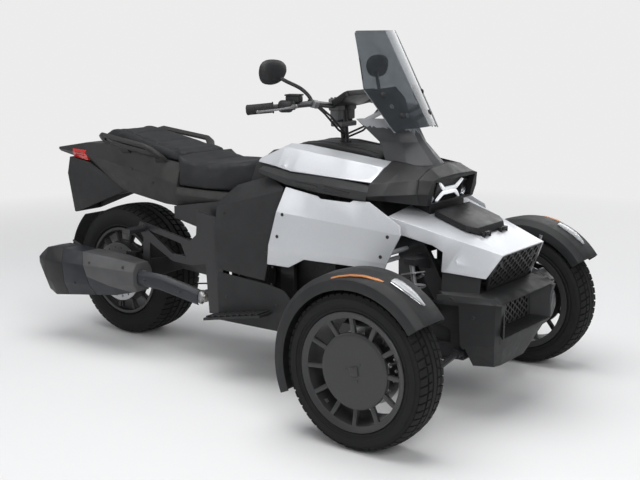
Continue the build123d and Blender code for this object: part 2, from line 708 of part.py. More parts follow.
cover_rows = [  # (x, open outer line (y, z) from its top edge down)
    (152, [(188, 900), (200, 893), (204, 886)]),
    (257, [(124, 958), (165, 948), (231, 879)]),
    (348, [(122, 958), (170, 940), (250, 867)]),
    (735, [(120, 916), (180, 900), (262, 853)]),
]
with BuildPart() as tank_covers:
    sheet_between(cover_rows, panel_wall)
    for x, z in ((300, 878), (650, 862)):
        rod((x, tank_side_y, z), (x, 236, z), post_radius)
    mirror(about=Plane.XZ)
finish(tank_covers, "tank_covers")

trim_rows = [
    (190, [(224, 874), (250, 864), (258, 852)]),
    (360, [(244, 862), (286, 842), (294, 820)]),
    (520, [(252, 858), (292, 835), (303, 803)]),
    (735, [(258, 842), (290, 820), (304, 790)]),
]
with BuildPart() as shoulder_trim:
    sheet_between(trim_rows, panel_wall)
    for x, z in ((380, 838), (640, 830)):
        rod((x, tank_side_y, z), (x, 266, z), post_radius)
    mirror(about=Plane.XZ)
finish(shoulder_trim, "shoulder_trim")

side_panel_rows = [
    (255, [(290, 830), (322, 720), (326, 580), (302, 480)]),
    (910, [(290, 830), (322, 682), (326, 572), (302, 480)]),
]
side_panel_outline = [
    (270, 498), (377, 498), (460, 541), (829, 546), (900, 682), (893, 715), (750, 787), (680, 787), (665, 778),
    (530, 780), (515, 789), (360, 811),
]
with BuildPart() as side_panels:
    sheet_between(side_panel_rows, panel_wall)
    side_cut(side_panel_outline, (250, 400), Mode.INTERSECT)
    for x, z in ((330, 670), (312, 600), (850, 612), (812, 572)):
        rod((x, frame_outer_y, z), (x, 323, z), post_radius)
    mirror(about=Plane.XZ)
finish(side_panels, "side_panels")

knee_rows = [
    (-40, [(196, 760), (262, 690), (286, 600), (290, 430)]),
    (355, [(228, 876), (298, 800), (306, 620), (300, 420)]),
]
knee_outline = [(-30, 722), (-13, 442), (247, 426), (346, 794), (342, 806), (190, 841), (150, 847), (79, 821)]
with BuildPart() as knee_panels:
    sheet_between(knee_rows, panel_wall)
    side_cut(knee_outline, (150, 400), Mode.INTERSECT)
    for x, z, y in ((20, 675, 269), (262, 540, 298)):
        rod((x, frame_outer_y, z), (x, y, z), post_radius)
    mirror(about=Plane.XZ)
finish(knee_panels, "knee_panels")

# ---- silencer ----
silencer_y = -300
with BuildPart() as muffler:
    def slab(x, z_low, z_high, half):
        cut = 0.28 * (z_high - z_low)
        return face_on(across(x), [(silencer_y + y, z) for y, z in (
            (-half, z_low + cut), (-half, z_high - cut), (-half + 22, z_high), (half - 22, z_high),
            (half, z_high - cut), (half, z_low + cut), (half - 22, z_low), (-half + 22, z_low))])
    loft([slab(-436, 292, 416, 56), slab(-560, 262, 428, 66), slab(-950, 212, 438, 70), slab(-1000, 232, 428, 66),
          slab(-1070, 330, 392, 40)], ruled=True)
finish(muffler, "muffler")

# ---- side plates, boards and pegs ----
with BuildPart() as side_plates:
    side_cut([(-60, 646), (-150, 660), (-160, 560), (-196, 530), (-491, 584), (-505, 560), (-478, 520), (-300, 430),
              (-196, 425), (-110, 440), (-95, 232), (-20, 232), (-10, 300), (-20, 640)], (236, 250), Mode.ADD)
    side_cut([(-250, 513), (-445, 552), (-300, 462), (-220, 455)], (200, 300), Mode.SUBTRACT)
    for x, z in ((-75, 600), (-75, 300)):
        rod((x, frame_outer_y, z), (x, 240, z), post_radius)
    rod((-470, 250, 556), (-470, 262, 556), 16)
    with BuildSketch(Plane(origin=(-470, 262, 556), x_dir=(1, 0, 0), z_dir=(0, 1, 0))) as peg:
        RectangleRounded(46, 22, 8)
    extrude(peg.sketch, amount=92)
    mirror(about=Plane.XZ)
    # strap down to the silencer's inner face
    side_cut([(-440, 520), (-480, 530), (-492, 340), (-452, 340)], (-243, -236), Mode.ADD)
    add(muffler.part, mode=Mode.SUBTRACT)
finish(side_plates, "side_plates")

with BuildPart() as footboards:
    # lower skirt
    side_cut([(-8, 430), (255, 412), (340, 396), (440, 300), (452, 241), (336, 226), (-8, 226)], (286, 290), Mode.ADD)
    side_cut([(-24, 236), (276, 292), (276, 302), (-24, 246)], (290, 365), Mode.ADD)
    for step in range(9):
        x = -8 + step * 33
        z = 248 + (x + 24) * 56 / 300
        block((x - 5, x + 5), (294, 361), (z - 2, z + 5))
    for x, z in ((280, 300), (40, 252)):
        rod((x, frame_outer_y, z), (x, 288, z), post_radius)
    mirror(about=Plane.XZ)
finish(footboards, "footboards")

with BuildPart() as belly_pan:
    side_cut([(-80, 218), (1040, 218), (1040, 225), (-80, 225)], (-210, 210), Mode.ADD)
finish(belly_pan, "belly_pan")

# ---- tail and seats ----
seat_floor_z = 740
tail_rows = [
    (60, [(0, seat_floor_z), (196, seat_floor_z), (206, 712), (196, 668), (0, 668)]),
    (-330, [(0, seat_floor_z), (180, seat_floor_z), (190, 710), (168, 656), (0, 656)]),
]
tail_rear_rows = [
    (-330, [(0, 838), (150, 838), (182, 750), (168, 656), (0, 656)]),
    (-430, [(0, 850), (146, 850), (172, 768), (150, 655), (0, 655)]),
    (-740, [(0, 893), (112, 893), (134, 806), (100, 682), (0, 682)]),
    (-1000, [(0, 886), (84, 886), (92, 832), (60, 792), (0, 792)]),
    (-1254, [(0, 846), (34, 846), (38, 838), (26, 826), (0, 826)]),
]
with BuildPart() as tail_cowl:
    body_between(tail_rows)
    body_between(tail_rear_rows)
    # the side arms leave room between them for the frame rails
    block((-320, 70), (-150, 150), (600, 800), Mode.SUBTRACT)
    add(whole_frame.part, mode=Mode.SUBTRACT)
finish(tail_cowl, "tail_cowl")

with BuildPart() as tail_lamp:
    for side in (-1, 1):
        block((-1110, -1000), (side * 60 - 30, side * 60 + 30), (800, 850))
    body_between([(-1180, [(0, 870), (62, 850), (66, 832), (60, 815), (0, 815)]),
                  (-990, [(0, 890), (90, 870), (95, 840), (80, 800), (0, 800)])], Mode.INTERSECT)
    add(tail_cowl.part, mode=Mode.SUBTRACT)
finish(tail_lamp, "tail_lamp")

with BuildPart() as rear_mudguard:
    side_cut([(-737, 682), (-1103, 545), (-1112, 548), (-1150, 730), (-1130, 810), (-990, 792), (-760, 682)],
             (-78, 78), Mode.ADD)
    side_cut([(-800, 640), (-1097, 545), (-1106, 600), (-1138, 730), (-1118, 780), (-990, 770)],
             (-74, 74), Mode.SUBTRACT)
    add(tail_cowl.part, mode=Mode.SUBTRACT)
finish(rear_mudguard, "rear_mudguard")

with BuildPart() as rider_seat:
    side_cut([(56, 742), (144, 905), (122, 900), (30, 862), (-100, 845), (-228, 843), (-290, 858), (-326, 884),
              (-326, 742)], (-190, 190), Mode.ADD)
    with BuildSketch(Plane.XY.offset(700)) as plan_shape:
        with BuildLine():
            Polyline((150, 118), (60, 126), (-60, 176), (-150, 190), (-330, 178), (-330, -178), (-150, -190),
                     (-60, -176), (60, -126), (150, -118), close=True)
        make_face()
    extrude(plan_shape.sketch, amount=250, mode=Mode.INTERSECT)
    fillet(rider_seat.edges().group_by(Axis.Z)[-1], 10)
    block((-318, 60), (-150, 150), (seat_floor_z - 20, seat_floor_z + 2))
    add(whole_frame.part, mode=Mode.SUBTRACT)
finish(rider_seat, "rider_seat")

with BuildPart() as passenger_seat:
    side_cut([(-330, 838), (-430, 850), (-740, 893), (-890, 889), (-895, 918), (-792, 966), (-600, 930),
              (-400, 892), (-330, 886)], (-150, 150), Mode.ADD)
    with BuildSketch(Plane.XY.offset(700)) as plan_shape:
        with BuildLine():
            Polyline((-330, 140), (-500, 148), (-740, 130), (-895, 90), (-895, -90), (-740, -130), (-500, -148),
                     (-330, -140), close=True)
        make_face()
    extrude(plan_shape.sketch, amount=300, mode=Mode.INTERSECT)
finish(passenger_seat, "passenger_seat")

grab_radius = 10
grab_points = [(-790, 150, 944), (-768, 191, 942), (-486, 204, 908), (-425, 178, 866), (-405, 150, 800)]
with BuildPart() as grab_rails:
    bent_tube(grab_points, 18, grab_radius)
    # inner bar and brackets, with a finger slot between the bars
    bent_tube([(-790, 150, 944), (-740, 156, 908), (-520, 164, 876), (-410, 152, 838)], 18, 8)
    for x_tube, y_tube, z_tube, x_foot, y_foot, z_foot in ((-700, 155, 904, -680, 100, 840), (-480, 162, 866, -470, 120, 800)):
        loft([face_on(Plane.XY.offset(z_tube), [(x_tube - 30, y_tube - 6), (x_tube + 30, y_tube - 6),
                                                (x_tube + 30, y_tube + 5), (x_tube - 30, y_tube + 5)]),
              face_on(Plane.XY.offset(z_foot), [(x_foot - 24, y_foot - 6), (x_foot + 24, y_foot - 6),
                                                (x_foot + 24, y_foot + 5), (x_foot - 24, y_foot + 5)])], ruled=True)
    mirror(about=Plane.XZ)
    add(tail_cowl.part, mode=Mode.SUBTRACT)
    add(passenger_seat.part, mode=Mode.SUBTRACT)
finish(grab_rails, "grab_rails")

# ---- rear suspension and drive ----
rear_disc_y = -131
with BuildPart() as swingarm:
    for side in (-1, 1):
        low_y, high_y = sorted((side * (arm_y - 16), side * (arm_y + 16)))
        side_cut([(-240, 395), (-240, 445), (-290, 450), (-520, 400), (-730, 350), (-806, 330), (-806, 276),
                  (-730, 268), (-500, 320), (-290, 392)], (low_y, high_y), Mode.ADD)
    block((-350, -300), (-arm_y + 16, arm_y - 16), (400, 436))
    rod((-270, -arm_y, 420), (-270, arm_y, 420), 22)
    rod((rear_axle_x, -arm_y - 16, rear_axle_z), (rear_axle_x, arm_y + 16, rear_axle_z), spindle_radius)
    rod((-270, -300, 420), (-270, -arm_y, 420), swing_pivot_radius, Mode.SUBTRACT)
    rod((-270, arm_y, 420), (-270, 300, 420), swing_pivot_radius, Mode.SUBTRACT)
    # brake caliper on the right arm, open round the disc
    block((-700, -640), (-142, -115), (352, 410))
    block((-690, -650), (-146, -140), (330, 380))
    plane = Plane(origin=(rear_axle_x, rear_disc_y - caliper_gap, rear_axle_z), x_dir=(1, 0, 0), z_dir=(0, 1, 0))
    with BuildSketch(plane) as slot:
        Circle(rear_disc_radius + caliper_gap)
        Circle(spindle_radius + 20, mode=Mode.SUBTRACT)
    extrude(slot.sketch, amount=disc_thickness + 2 * caliper_gap, mode=Mode.SUBTRACT)
finish(swingarm, "swingarm")

with BuildPart() as shocks:
    top = Vector(*shock_top)
    foot = Vector(*shock_foot)
    run = (top - foot).normalized()
    rod(tuple(foot), tuple(foot + run * 120), 17)
    rod(tuple(foot + run * 120), tuple(top - run * 12), 9)
    rod(tuple(foot + run * (spring_foot - 10)), tuple(foot + run * (spring_foot - spring_wire)), spring_seat_radius)
    rod(tuple(top - run * (spring_head - spring_wire)), tuple(top - run * (spring_head - 10)), spring_seat_radius)
    coil_length = (top - foot).length - spring_head - spring_foot
    with BuildLine() as coil:
        Helix(pitch=coil_length / spring_turns, height=coil_length, radius=spring_radius,
              center=tuple(foot + run * spring_foot), direction=tuple(run))
    with BuildSketch(Plane(origin=coil.line @ 0, z_dir=coil.line % 0)) as wire:
        RegularPolygon(spring_wire, 6)
    sweep(wire.sketch, path=coil.line, is_frenet=True)
    mirror(about=Plane.XZ)
    rod((-310, 0, 612), (-325, 0, 560), 14)
    rod((-325, 0, 560), (-332, 0, 470), 34)
    rod((-332, 0, 470), (-336, 0, 436), 14)
    add(whole_frame.part, mode=Mode.SUBTRACT)
    add(control_arms.part, mode=Mode.SUBTRACT)
    add(swingarm.part, mode=Mode.SUBTRACT)
finish(shocks, "shocks")

with BuildPart() as plate_holder:
    arc_radius = 334
    with BuildSketch(Plane(origin=rear_axle, x_dir=(1, 0, 0), z_dir=(0, -1, 0)).offset(-122)) as strip:
        with BuildLine():
            hug = CenterArc((0, 0), arc_radius, 132, 38)
            offset(hug, amount=4, side=Side.LEFT)
        make_face()
    extrude(strip.sketch, amount=244)
    for side in (-1, 1):
        rod((-1080, side * 122, 414), (-800, side * (arm_y - 8), 330), 6)
    add(swingarm.part, mode=Mode.SUBTRACT)
finish(plate_holder, "plate_holder")

with BuildPart() as disc_rear:
    plane = Plane(origin=(rear_axle_x, rear_disc_y, rear_axle_z), x_dir=(1, 0, 0), z_dir=(0, 1, 0))
    with BuildSketch(plane):
        Circle(rear_disc_radius)
        with PolarLocations(rear_disc_radius - 20, 18):
            Circle(5, mode=Mode.SUBTRACT)
    extrude(amount=disc_thickness)
    rod((rear_axle_x, rear_disc_y, rear_axle_z), (rear_axle_x, -rear_dish + 2, rear_axle_z), 34)
    rod((rear_axle_x, -200, rear_axle_z), (rear_axle_x, 0, rear_axle_z), spindle_radius + running_fit, Mode.SUBTRACT)
finish(disc_rear, "disc_rear")

with BuildPart() as rear_pulley:
    plane = Plane(origin=(rear_axle_x, belt_y[0], rear_axle_z), x_dir=(1, 0, 0), z_dir=(0, 1, 0))
    with BuildSketch(plane):
        Circle(belt_rear_radius)
        with PolarLocations(70, 6):
            Circle(19, mode=Mode.SUBTRACT)
    extrude(amount=belt_y[1] - belt_y[0])
    rod((rear_axle_x, 40, rear_axle_z), (rear_axle_x, belt_y[0], rear_axle_z), 40)
    rod((rear_axle_x, 0, rear_axle_z), (rear_axle_x, 200, rear_axle_z), spindle_radius + running_fit, Mode.SUBTRACT)
finish(rear_pulley, "rear_pulley")

with BuildPart() as drive_belt:
    belt_plane = Plane(origin=(0, belt_y[0] + 1, 0), x_dir=(-1, 0, 0), z_dir=(0, 1, 0))
    with BuildSketch(belt_plane):
        for grow, how in ((belt_gap + belt_thickness, Mode.ADD), (belt_gap, Mode.SUBTRACT)):
            with BuildSketch(mode=how):
                with Locations((-rear_axle_x, rear_axle_z)):
                    Circle(belt_rear_radius + grow)
                with Locations((-belt_front[0], belt_front[1])):
                    Circle(belt_front_radius + grow)
                make_hull()
    extrude(amount=belt_y[1] - belt_y[0] - 2)
finish(drive_belt, "drive_belt")

# ---- exhaust ----
with BuildPart() as exhaust_pipe:
    bent_tube([(-440, silencer_y, 352), (-330, -276, 344), (-160, -220, 286), (-130, -120, 300), (-30, -100, 300)],
              34, 26)
    add(muffler.part, mode=Mode.SUBTRACT)
    add(engine.part, mode=Mode.SUBTRACT)
finish(exhaust_pipe, "exhaust_pipe")

shield_wall = 3
shield_rows = [  # (x, y of the outer face, z low, z high)
    (-430, -338, 322, 388),
    (-330, -312, 310, 378),
    (-158, -256, 256, 320),
]
with BuildPart() as heat_shield:
    loft([face_on(across(x), [(y, low + 12), (y, high - 18), (y + 16, high), (y + 16 + shield_wall, high - 2),
                              (y + shield_wall, high - 20), (y + shield_wall, low + 14),
                              (y + 8 + shield_wall, low + 2), (y + 8, low)]) for x, y, low, high in shield_rows],
         ruled=True)
    for x, y, z in ((-395, -292, 349), (-235, -245, 312)):
        rod((x, y, z), (x, y - 44, z), 6)
    add(exhaust_pipe.part, mode=Mode.SUBTRACT)
finish(heat_shield, "heat_shield")

# ---- screen ----
screen_foot = Vector(817, 0, 1017)
screen_head = Vector(608, 0, 1402)
screen_run = (screen_head - screen_foot).normalized()
screen_forward = Vector(screen_run.Z, 0, -screen_run.X)
screen_axis_foot = screen_foot - screen_forward * screen_radius
screen_base = Plane(origin=screen_axis_foot, x_dir=(0, 1, 0), z_dir=screen_run)
screen_view = Plane(origin=(400, 0, 0), x_dir=(0, 1, 0), z_dir=(1, 0, 0))
wing_gap = 4
boss_radius = 9
screen_bosses = ((690, 70, 1082), (660, 120, 1120))
wing_wall = 5
wing_outline = [(-184, 1182), (-60, 1192), (-36, 1150), (-52, 1090), (-84, 1034), (-108, 1050), (-147, 1028)]
with BuildPart() as screen_wings:
    with BuildSketch(screen_base):
        Circle(screen_radius - screen_wall - wing_gap)
        Circle(screen_radius - screen_wall - wing_gap - wing_wall, mode=Mode.SUBTRACT)
    extrude(amount=480)
    with BuildSketch(screen_view) as wing_view:
        for side in (-1, 1):
            with BuildLine():
                Polyline(*[(-side * y, z) for y, z in wing_outline], close=True)
            make_face()
    extrude(wing_view.sketch, amount=600, mode=Mode.INTERSECT)

with BuildPart() as screen_tower:
    loft([face_on(Plane.XY.offset(z), outline + [(x, -y) for x, y in reversed(outline) if y > 0]) for z, outline in (
        (tower_floor_z, [(876, 0), (868, 40), (792, 106), (700, 108), (694, 0)]),
        (984, [(800, 0), (790, 28), (735, 62), (650, 84), (640, 0)]),
        (1072, [(742, 0), (738, 30), (690, 92), (588, 150), (580, 0)]),
    )], ruled=True)
    # hollow behind the instruments
    loft([face_on(Plane.XY.offset(z), outline + [(x, -y) for x, y in reversed(outline) if y > 0]) for z, outline in (
        (1000, [(760, 0), (722, 40), (640, 70), (600, 0)]),
        (1090, [(732, 0), (684, 78), (560, 142), (540, 0)]),
    )], ruled=True, mode=Mode.SUBTRACT)
    # bosses that end on the back of the screen
    for side in (-1, 1):
        for x, y, z in screen_bosses:
            rod((x - 60, side * y, z - 60), (x + 150, side * y, z + 40), boss_radius)
    with BuildSketch(screen_base.offset(-400)) as inside:
        Circle(screen_radius - screen_wall)
    extrude(inside.sketch, amount=900, mode=Mode.INTERSECT)
    add(screen_wings.part)
finish(screen_tower, "screen_tower")

with BuildPart() as windscreen:
    with BuildSketch(screen_base):
        Circle(screen_radius)
        Circle(screen_radius - screen_wall, mode=Mode.SUBTRACT)
    extrude(amount=480)
    with BuildSketch(screen_view) as screen_shape:
        with BuildLine():
            Polyline((-138, 1400), (-192, 1190), (-152, 1020), (-110, 1040), (110, 1040), (152, 1020), (192, 1190),
                     (138, 1400), close=True)
        make_face()
        fillet(screen_shape.vertices(), 18)
    extrude(screen_shape.sketch, amount=600, mode=Mode.INTERSECT)
finish(windscreen, "windscreen")

# ---- handlebar ----
riser_z = 1108
with BuildPart() as handlebar:
    rod(on_column(790), on_column(riser_z - 10), column_radius)
    block((400, 448), (-48, 48), (1030, 1044))
    for side in (-1, 1):
        rod((418, side * 38, 1040), (417, side * 38, riser_z), 18)
        block((396, 440), sorted((side * 20, side * 60)), (riser_z - 18, riser_z + 16))
    half_points = [(417, 0, 1108), (425, 100, 1114), (451, 240, 1130), (352, 322, 1118), (262, 385, 1108)]
    bent_tube(half_points, 26, bar_radius)
    bent_tube([(x, -y, z) for x, y, z in half_points], 26, bar_radius)
finish(handlebar, "handlebar")

with BuildPart() as grips:
    grip_in = Vector(352, 322, 1118)
    grip_out = Vector(262, 385, 1108)
    grip_run = (grip_out - grip_in).normalized()
    rod(tuple(grip_in + grip_run * 20), tuple(grip_out + grip_run * 12), grip_radius)
    mirror(about=Plane.XZ)
    add(handlebar.part, mode=Mode.SUBTRACT)
finish(grips, "grips")

with BuildPart() as mirrors:
    bent_tube([(440, 236, 1140), (400, 250, 1180), (345, 330, 1222)], 20, 6)
    mirror_plane = Plane(origin=(352, 351, 1250), x_dir=(0, 1, 0), z_dir=(-1, 0, 0.1))
    with BuildSketch(mirror_plane):
        RectangleRounded(150, 90, 36)
    extrude(amount=22, taper=10, both=False)
    mirror(about=Plane.XZ)
    add(handlebar.part, mode=Mode.SUBTRACT)
finish(mirrors, "mirrors")

with BuildPart() as hand_controls:
    # switch pods, levers and fluid tank
    for side in (-1, 1):
        rod((386, side * 294, 1122), (358, side * 316, 1119), 25)
        rod((402, side * 300, 1124), (330, side * 392, 1112), 6)
    add(handlebar.part, mode=Mode.SUBTRACT)
    add(mirrors.part, mode=Mode.SUBTRACT)
    add(grips.part, mode=Mode.SUBTRACT)
finish(hand_controls, "hand_controls")

# brake and clutch hoses from the bar to the column
hose_radius = 4
with BuildPart() as control_hoses:
    for reach, drop in ((0, 0), (26, 14)):
        bent_tube([(446, 226 - reach, 1128 - reach / 4), (470 + reach / 2, 190 - reach, 1090 - drop),
                   (462 + reach / 2, 90 - reach, 1020 - drop), (434 - drop / 7, 10, 994 - drop)], 26, hose_radius)
    mirror(about=Plane.XZ)
    add(handlebar.part, mode=Mode.SUBTRACT)
finish(control_hoses, "control_hoses")

with BuildPart() as display:
    with BuildSketch(Plane(origin=(470, 0, 1150), x_dir=(0, 1, 0), z_dir=(-0.5, 0, 0.85))):
        RectangleRounded(210, 90, 16)
    extrude(amount=-22)
    rod((417, 30, 1112), (466, 30, 1140), 7)
    rod((417, -30, 1112), (466, -30, 1140), 7)
    add(handlebar.part, mode=Mode.SUBTRACT)
finish(display, "display")

# ---- steering rack ----
with BuildPart() as rack_housing:
    rod((rack_x, -rack_half_length, rack_z), (rack_x, rack_half_length, rack_z), rack_housing_radius)
    for side in (-1, 1):
        low_y, high_y = sorted((side * (rack_half_length - 20), side * frame_inner_y))
        block((rack_x, rack_x + 60), (low_y, high_y), (rack_z - 14, rack_z + 14))
    rod((rack_x, -300, rack_z), (rack_x, 300, rack_z), rack_radius + running_fit, Mode.SUBTRACT)
    add(whole_frame.part, mode=Mode.SUBTRACT)
finish(rack_housing, "rack_housing")

with BuildPart() as tie_rods:
    rod((rack_x, -220, rack_z), (rack_x, 220, rack_z), rack_radius)
    for side in (-1, 1):
        rod((rack_x, side * 215, rack_z), (rack_x, side * 470, rack_z), tie_rod_radius)
        with BuildSketch(Plane.XY.offset(rack_z - tie_rod_eye_height / 2)) as eye:
            with Locations((rack_x, side * 470)):
                Circle(14)
        extrude(eye.sketch, amount=tie_rod_eye_height)
finish(tie_rods, "tie_rods")
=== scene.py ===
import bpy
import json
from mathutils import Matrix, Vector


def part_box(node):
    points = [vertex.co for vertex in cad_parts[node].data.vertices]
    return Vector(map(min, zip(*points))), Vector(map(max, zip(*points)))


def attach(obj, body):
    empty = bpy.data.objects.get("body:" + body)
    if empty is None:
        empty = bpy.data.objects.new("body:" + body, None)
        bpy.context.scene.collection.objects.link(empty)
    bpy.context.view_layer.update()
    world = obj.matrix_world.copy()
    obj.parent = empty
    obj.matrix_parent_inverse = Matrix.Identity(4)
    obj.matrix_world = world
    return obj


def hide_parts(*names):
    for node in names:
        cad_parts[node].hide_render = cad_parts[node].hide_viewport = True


bl_info = {
    "name": "Road Trike Builder",
    "version": (1, 0, 0),
    "blender": (4, 5, 0),
    "location": "View3D > Sidebar > Trike",
    "description": "Dresses the frame of a three-wheeled road vehicle with panels, seats, tyres and lamps",
    "category": "Add Mesh",
}

import json
from math import atan2, cos, hypot, pi, radians, sin, sqrt, tau

import bmesh
import bpy
from bpy.props import FloatProperty, FloatVectorProperty, IntProperty, PointerProperty
from mathutils import Matrix, Vector
from mathutils.bvhtree import BVHTree

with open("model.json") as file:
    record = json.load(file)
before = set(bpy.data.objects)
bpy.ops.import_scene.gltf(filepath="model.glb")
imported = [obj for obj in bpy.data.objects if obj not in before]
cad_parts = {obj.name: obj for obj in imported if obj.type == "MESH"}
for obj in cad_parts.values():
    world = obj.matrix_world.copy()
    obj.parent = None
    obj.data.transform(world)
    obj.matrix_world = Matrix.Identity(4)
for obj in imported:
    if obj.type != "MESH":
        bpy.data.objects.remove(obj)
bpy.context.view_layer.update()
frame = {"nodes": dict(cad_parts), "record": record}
NODES = frame["nodes"]

AXLES = {
    "front_left": Vector((0.950, 0.622, 0.281)),
    "front_right": Vector((0.950, -0.622, 0.281)),
    "rear": Vector((-0.766, 0.0, 0.303)),
}


# ---------------------------------------------------------------- sizes and colours
class TrikeSizes(bpy.types.PropertyGroup):
    edge_round: FloatProperty(
        name="Panel edge rounding", description="How far light runs round the edge of a panel",
        default=0.0022, min=0.0, unit="LENGTH")
    moulded_round: FloatProperty(
        name="Moulding edge rounding", description="How far light runs round the edge of a moulding",
        default=0.003, min=0.0, unit="LENGTH")
    tread_depth: FloatProperty(
        name="Tread depth", description="How deep the grooves of the tyres are",
        default=0.0055, min=0.001, unit="LENGTH")
    tread_pitches: IntProperty(
        name="Tread pitches", description="How many blocks the tread has round a tyre",
        default=58, min=20)
    seat_voxel: FloatProperty(
        name="Seat mesh size", description="Spacing of the seat covers' mesh before it is refined",
        default=0.0065, min=0.004, unit="LENGTH")
    seat_shrink: FloatProperty(
        name="Seat undersize", description="How much smaller a cushion starts before it swells",
        default=0.002, min=0.0, unit="LENGTH")
    seat_swell: FloatProperty(
        name="Seat swelling", description="How far a cushion's cover may swell",
        default=0.009, min=0.0, unit="LENGTH")


class TrikeColours(bpy.types.PropertyGroup):
    silver: FloatVectorProperty(
        name="Silver panels", description="Light silver paint of the body panels",
        default=(0.60, 0.615, 0.64), size=3, min=0.0, max=1.0, subtype="COLOR")
    charcoal: FloatVectorProperty(
        name="Charcoal mouldings", description="Dark moulded plastic of fenders, bumper and skirts",
        default=(0.018, 0.0185, 0.0195), size=3, min=0.0, max=1.0, subtype="COLOR")
    black: FloatVectorProperty(
        name="Black mouldings", description="Black plastic of the lamp pod and trunk lid",
        default=(0.013, 0.013, 0.014), size=3, min=0.0, max=1.0, subtype="COLOR")
    tail_grey: FloatVectorProperty(
        name="Grey mouldings", description="Warm grey plastic of the tail and the screen tower",
        default=(0.024, 0.0238, 0.0225), size=3, min=0.0, max=1.0, subtype="COLOR")
    wheel_grey: FloatVectorProperty(
        name="Wheel paint", description="Dark grey paint of the wheels",
        default=(0.036, 0.036, 0.037), size=3, min=0.0, max=1.0, subtype="COLOR")
    seat_vinyl: FloatVectorProperty(
        name="Seat vinyl", description="Dark blue grey seat cover",
        default=(0.014, 0.0145, 0.0165), size=3, min=0.0, max=1.0, subtype="COLOR")
    amber: FloatVectorProperty(
        name="Amber markers", description="Side markers on the fenders",
        default=(0.66, 0.25, 0.07), size=3, min=0.0, max=1.0, subtype="COLOR")
    red: FloatVectorProperty(
        name="Tail lamps", description="Red lamp lenses at the tail",
        default=(0.60, 0.02, 0.015), size=3, min=0.0, max=1.0, subtype="COLOR")
    floor: FloatVectorProperty(
        name="Floor", description="Pale studio floor",
        default=(0.80, 0.80, 0.80), size=3, min=0.0, max=1.0, subtype="COLOR")
    backdrop: FloatVectorProperty(
        name="Backdrop", description="Pale wall behind the floor",
        default=(0.84, 0.84, 0.84), size=3, min=0.0, max=1.0, subtype="COLOR")


def sizes():
    return bpy.context.scene.trike_sizes


def colours():
    return bpy.context.scene.trike_colours


# ---------------------------------------------------------------- finishes
DUST = (0.085, 0.083, 0.078)


def feed(tree, socket, value):
    """Links an output socket to an input, or sets the input to a value; colours get full alpha."""
    if isinstance(value, bpy.types.NodeSocket):
        tree.links.new(value, socket)
    elif socket.type == "RGBA":
        socket.default_value = (*value[:3], 1.0)
    else:
        socket.default_value = value


def new_node(tree, kind, inputs=None, **values):
    """A node with its settings, and with its inputs fed by name or place."""
    made = tree.nodes.new(kind)
    for key, value in values.items():
        setattr(made, key, value)
    for key, value in (inputs or {}).items():
        feed(tree, made.inputs[key], value)
    return made


finishes = {}


class Finish:
    """A node material under construction; its helpers return output sockets."""

    def __init__(self, name):
        self.material = finishes[name] = bpy.data.materials.new(name)
        self.material.use_nodes = True
        self.tree = self.material.node_tree
        self.tree.nodes.clear()
        self.shader = self.node("ShaderNodeBsdfPrincipled")
        self.out = self.node("ShaderNodeOutputMaterial", {"Surface": self.shader.outputs["BSDF"]})
        self.place = self.node("ShaderNodeTexCoord").outputs["Object"]

    def node(self, kind, inputs=None, **values):
        return new_node(self.tree, kind, inputs, **values)

    def moved(self, vector, offset=(0, 0, 0), scale=(1, 1, 1), turn=(0, 0, 0)):
        return self.node("ShaderNodeMapping", {"Vector": vector, "Location": offset, "Rotation": turn,
                                               "Scale": scale}).outputs["Vector"]

    def noise(self, scale, detail=3.0, rough=0.55, vector=None):
        return self.node("ShaderNodeTexNoise", {"Vector": vector or self.place, "Scale": scale,
                                                "Detail": detail, "Roughness": rough}).outputs["Fac"]

    def cells(self, scale, feature="F1", out="Distance"):
        return self.node("ShaderNodeTexVoronoi", {"Vector": self.place, "Scale": scale},
                         feature=feature).outputs[out]

    def math(self, operation, a, b=0.0):
        return self.node("ShaderNodeMath", {0: a, 1: b}, operation=operation).outputs[0]

    def span(self, value, low, high, to_low, to_high):
        return self.node("ShaderNodeMapRange", {"Value": value, "From Min": low, "From Max": high,
                                                "To Min": to_low, "To Max": to_high}).outputs["Result"]

    def blend(self, fac, a, b):
        return self.node("ShaderNodeMix", {0: fac, 6: a, 7: b}, data_type="RGBA").outputs[2]

    def bump(self, height, distance, strength=1.0, normal=None):
        inputs = {"Height": height, "Distance": distance, "Strength": strength}
        if normal is not None:
            inputs["Normal"] = normal
        return self.node("ShaderNodeBump", inputs).outputs["Normal"]

    def rounded(self, radius):
        return self.node("ShaderNodeBevel", {"Radius": radius}, samples=4).outputs["Normal"]

    def plain_normal(self):
        return self.node("ShaderNodeNewGeometry").outputs["Normal"]

    def edges(self, rounded):
        """1 along edges and 0 on open surface, from the rounded normal against the plain one."""
        dot = self.node("ShaderNodeVectorMath", {0: self.plain_normal(), 1: rounded},
                        operation="DOT_PRODUCT")
        return self.span(self.math("SUBTRACT", 1.0, dot.outputs["Value"]), 0.02, 0.25, 0.0, 1.0)

    def up(self):
        """1 on faces that look up, 0 elsewhere."""
        split = self.node("ShaderNodeSeparateXYZ", {0: self.plain_normal()})
        return self.span(split.outputs["Z"], 0.2, 0.95, 0.0, 1.0)

    def axle(self, centre):
        """(radius, turn as -pi..pi) about a wheel's axle."""
        offset = tuple(-part for part in centre)
        split = self.node("ShaderNodeSeparateXYZ", {0: self.moved(self.place, offset)})
        x, z = split.outputs["X"], split.outputs["Z"]
        radius = self.math("SQRT", self.math("ADD", self.math("MULTIPLY", x, x), self.math("MULTIPLY", z, z)))
        return radius, self.math("ARCTAN2", z, x)

    def set(self, **values):
        """Sets shader inputs by name, with spaces written as underscores."""
        for key, value in values.items():
            feed(self.tree, self.shader.inputs[key.replace("_", " ")], value)


def shaded(colour, factor):
    return tuple(min(1.0, part * factor) for part in colour)


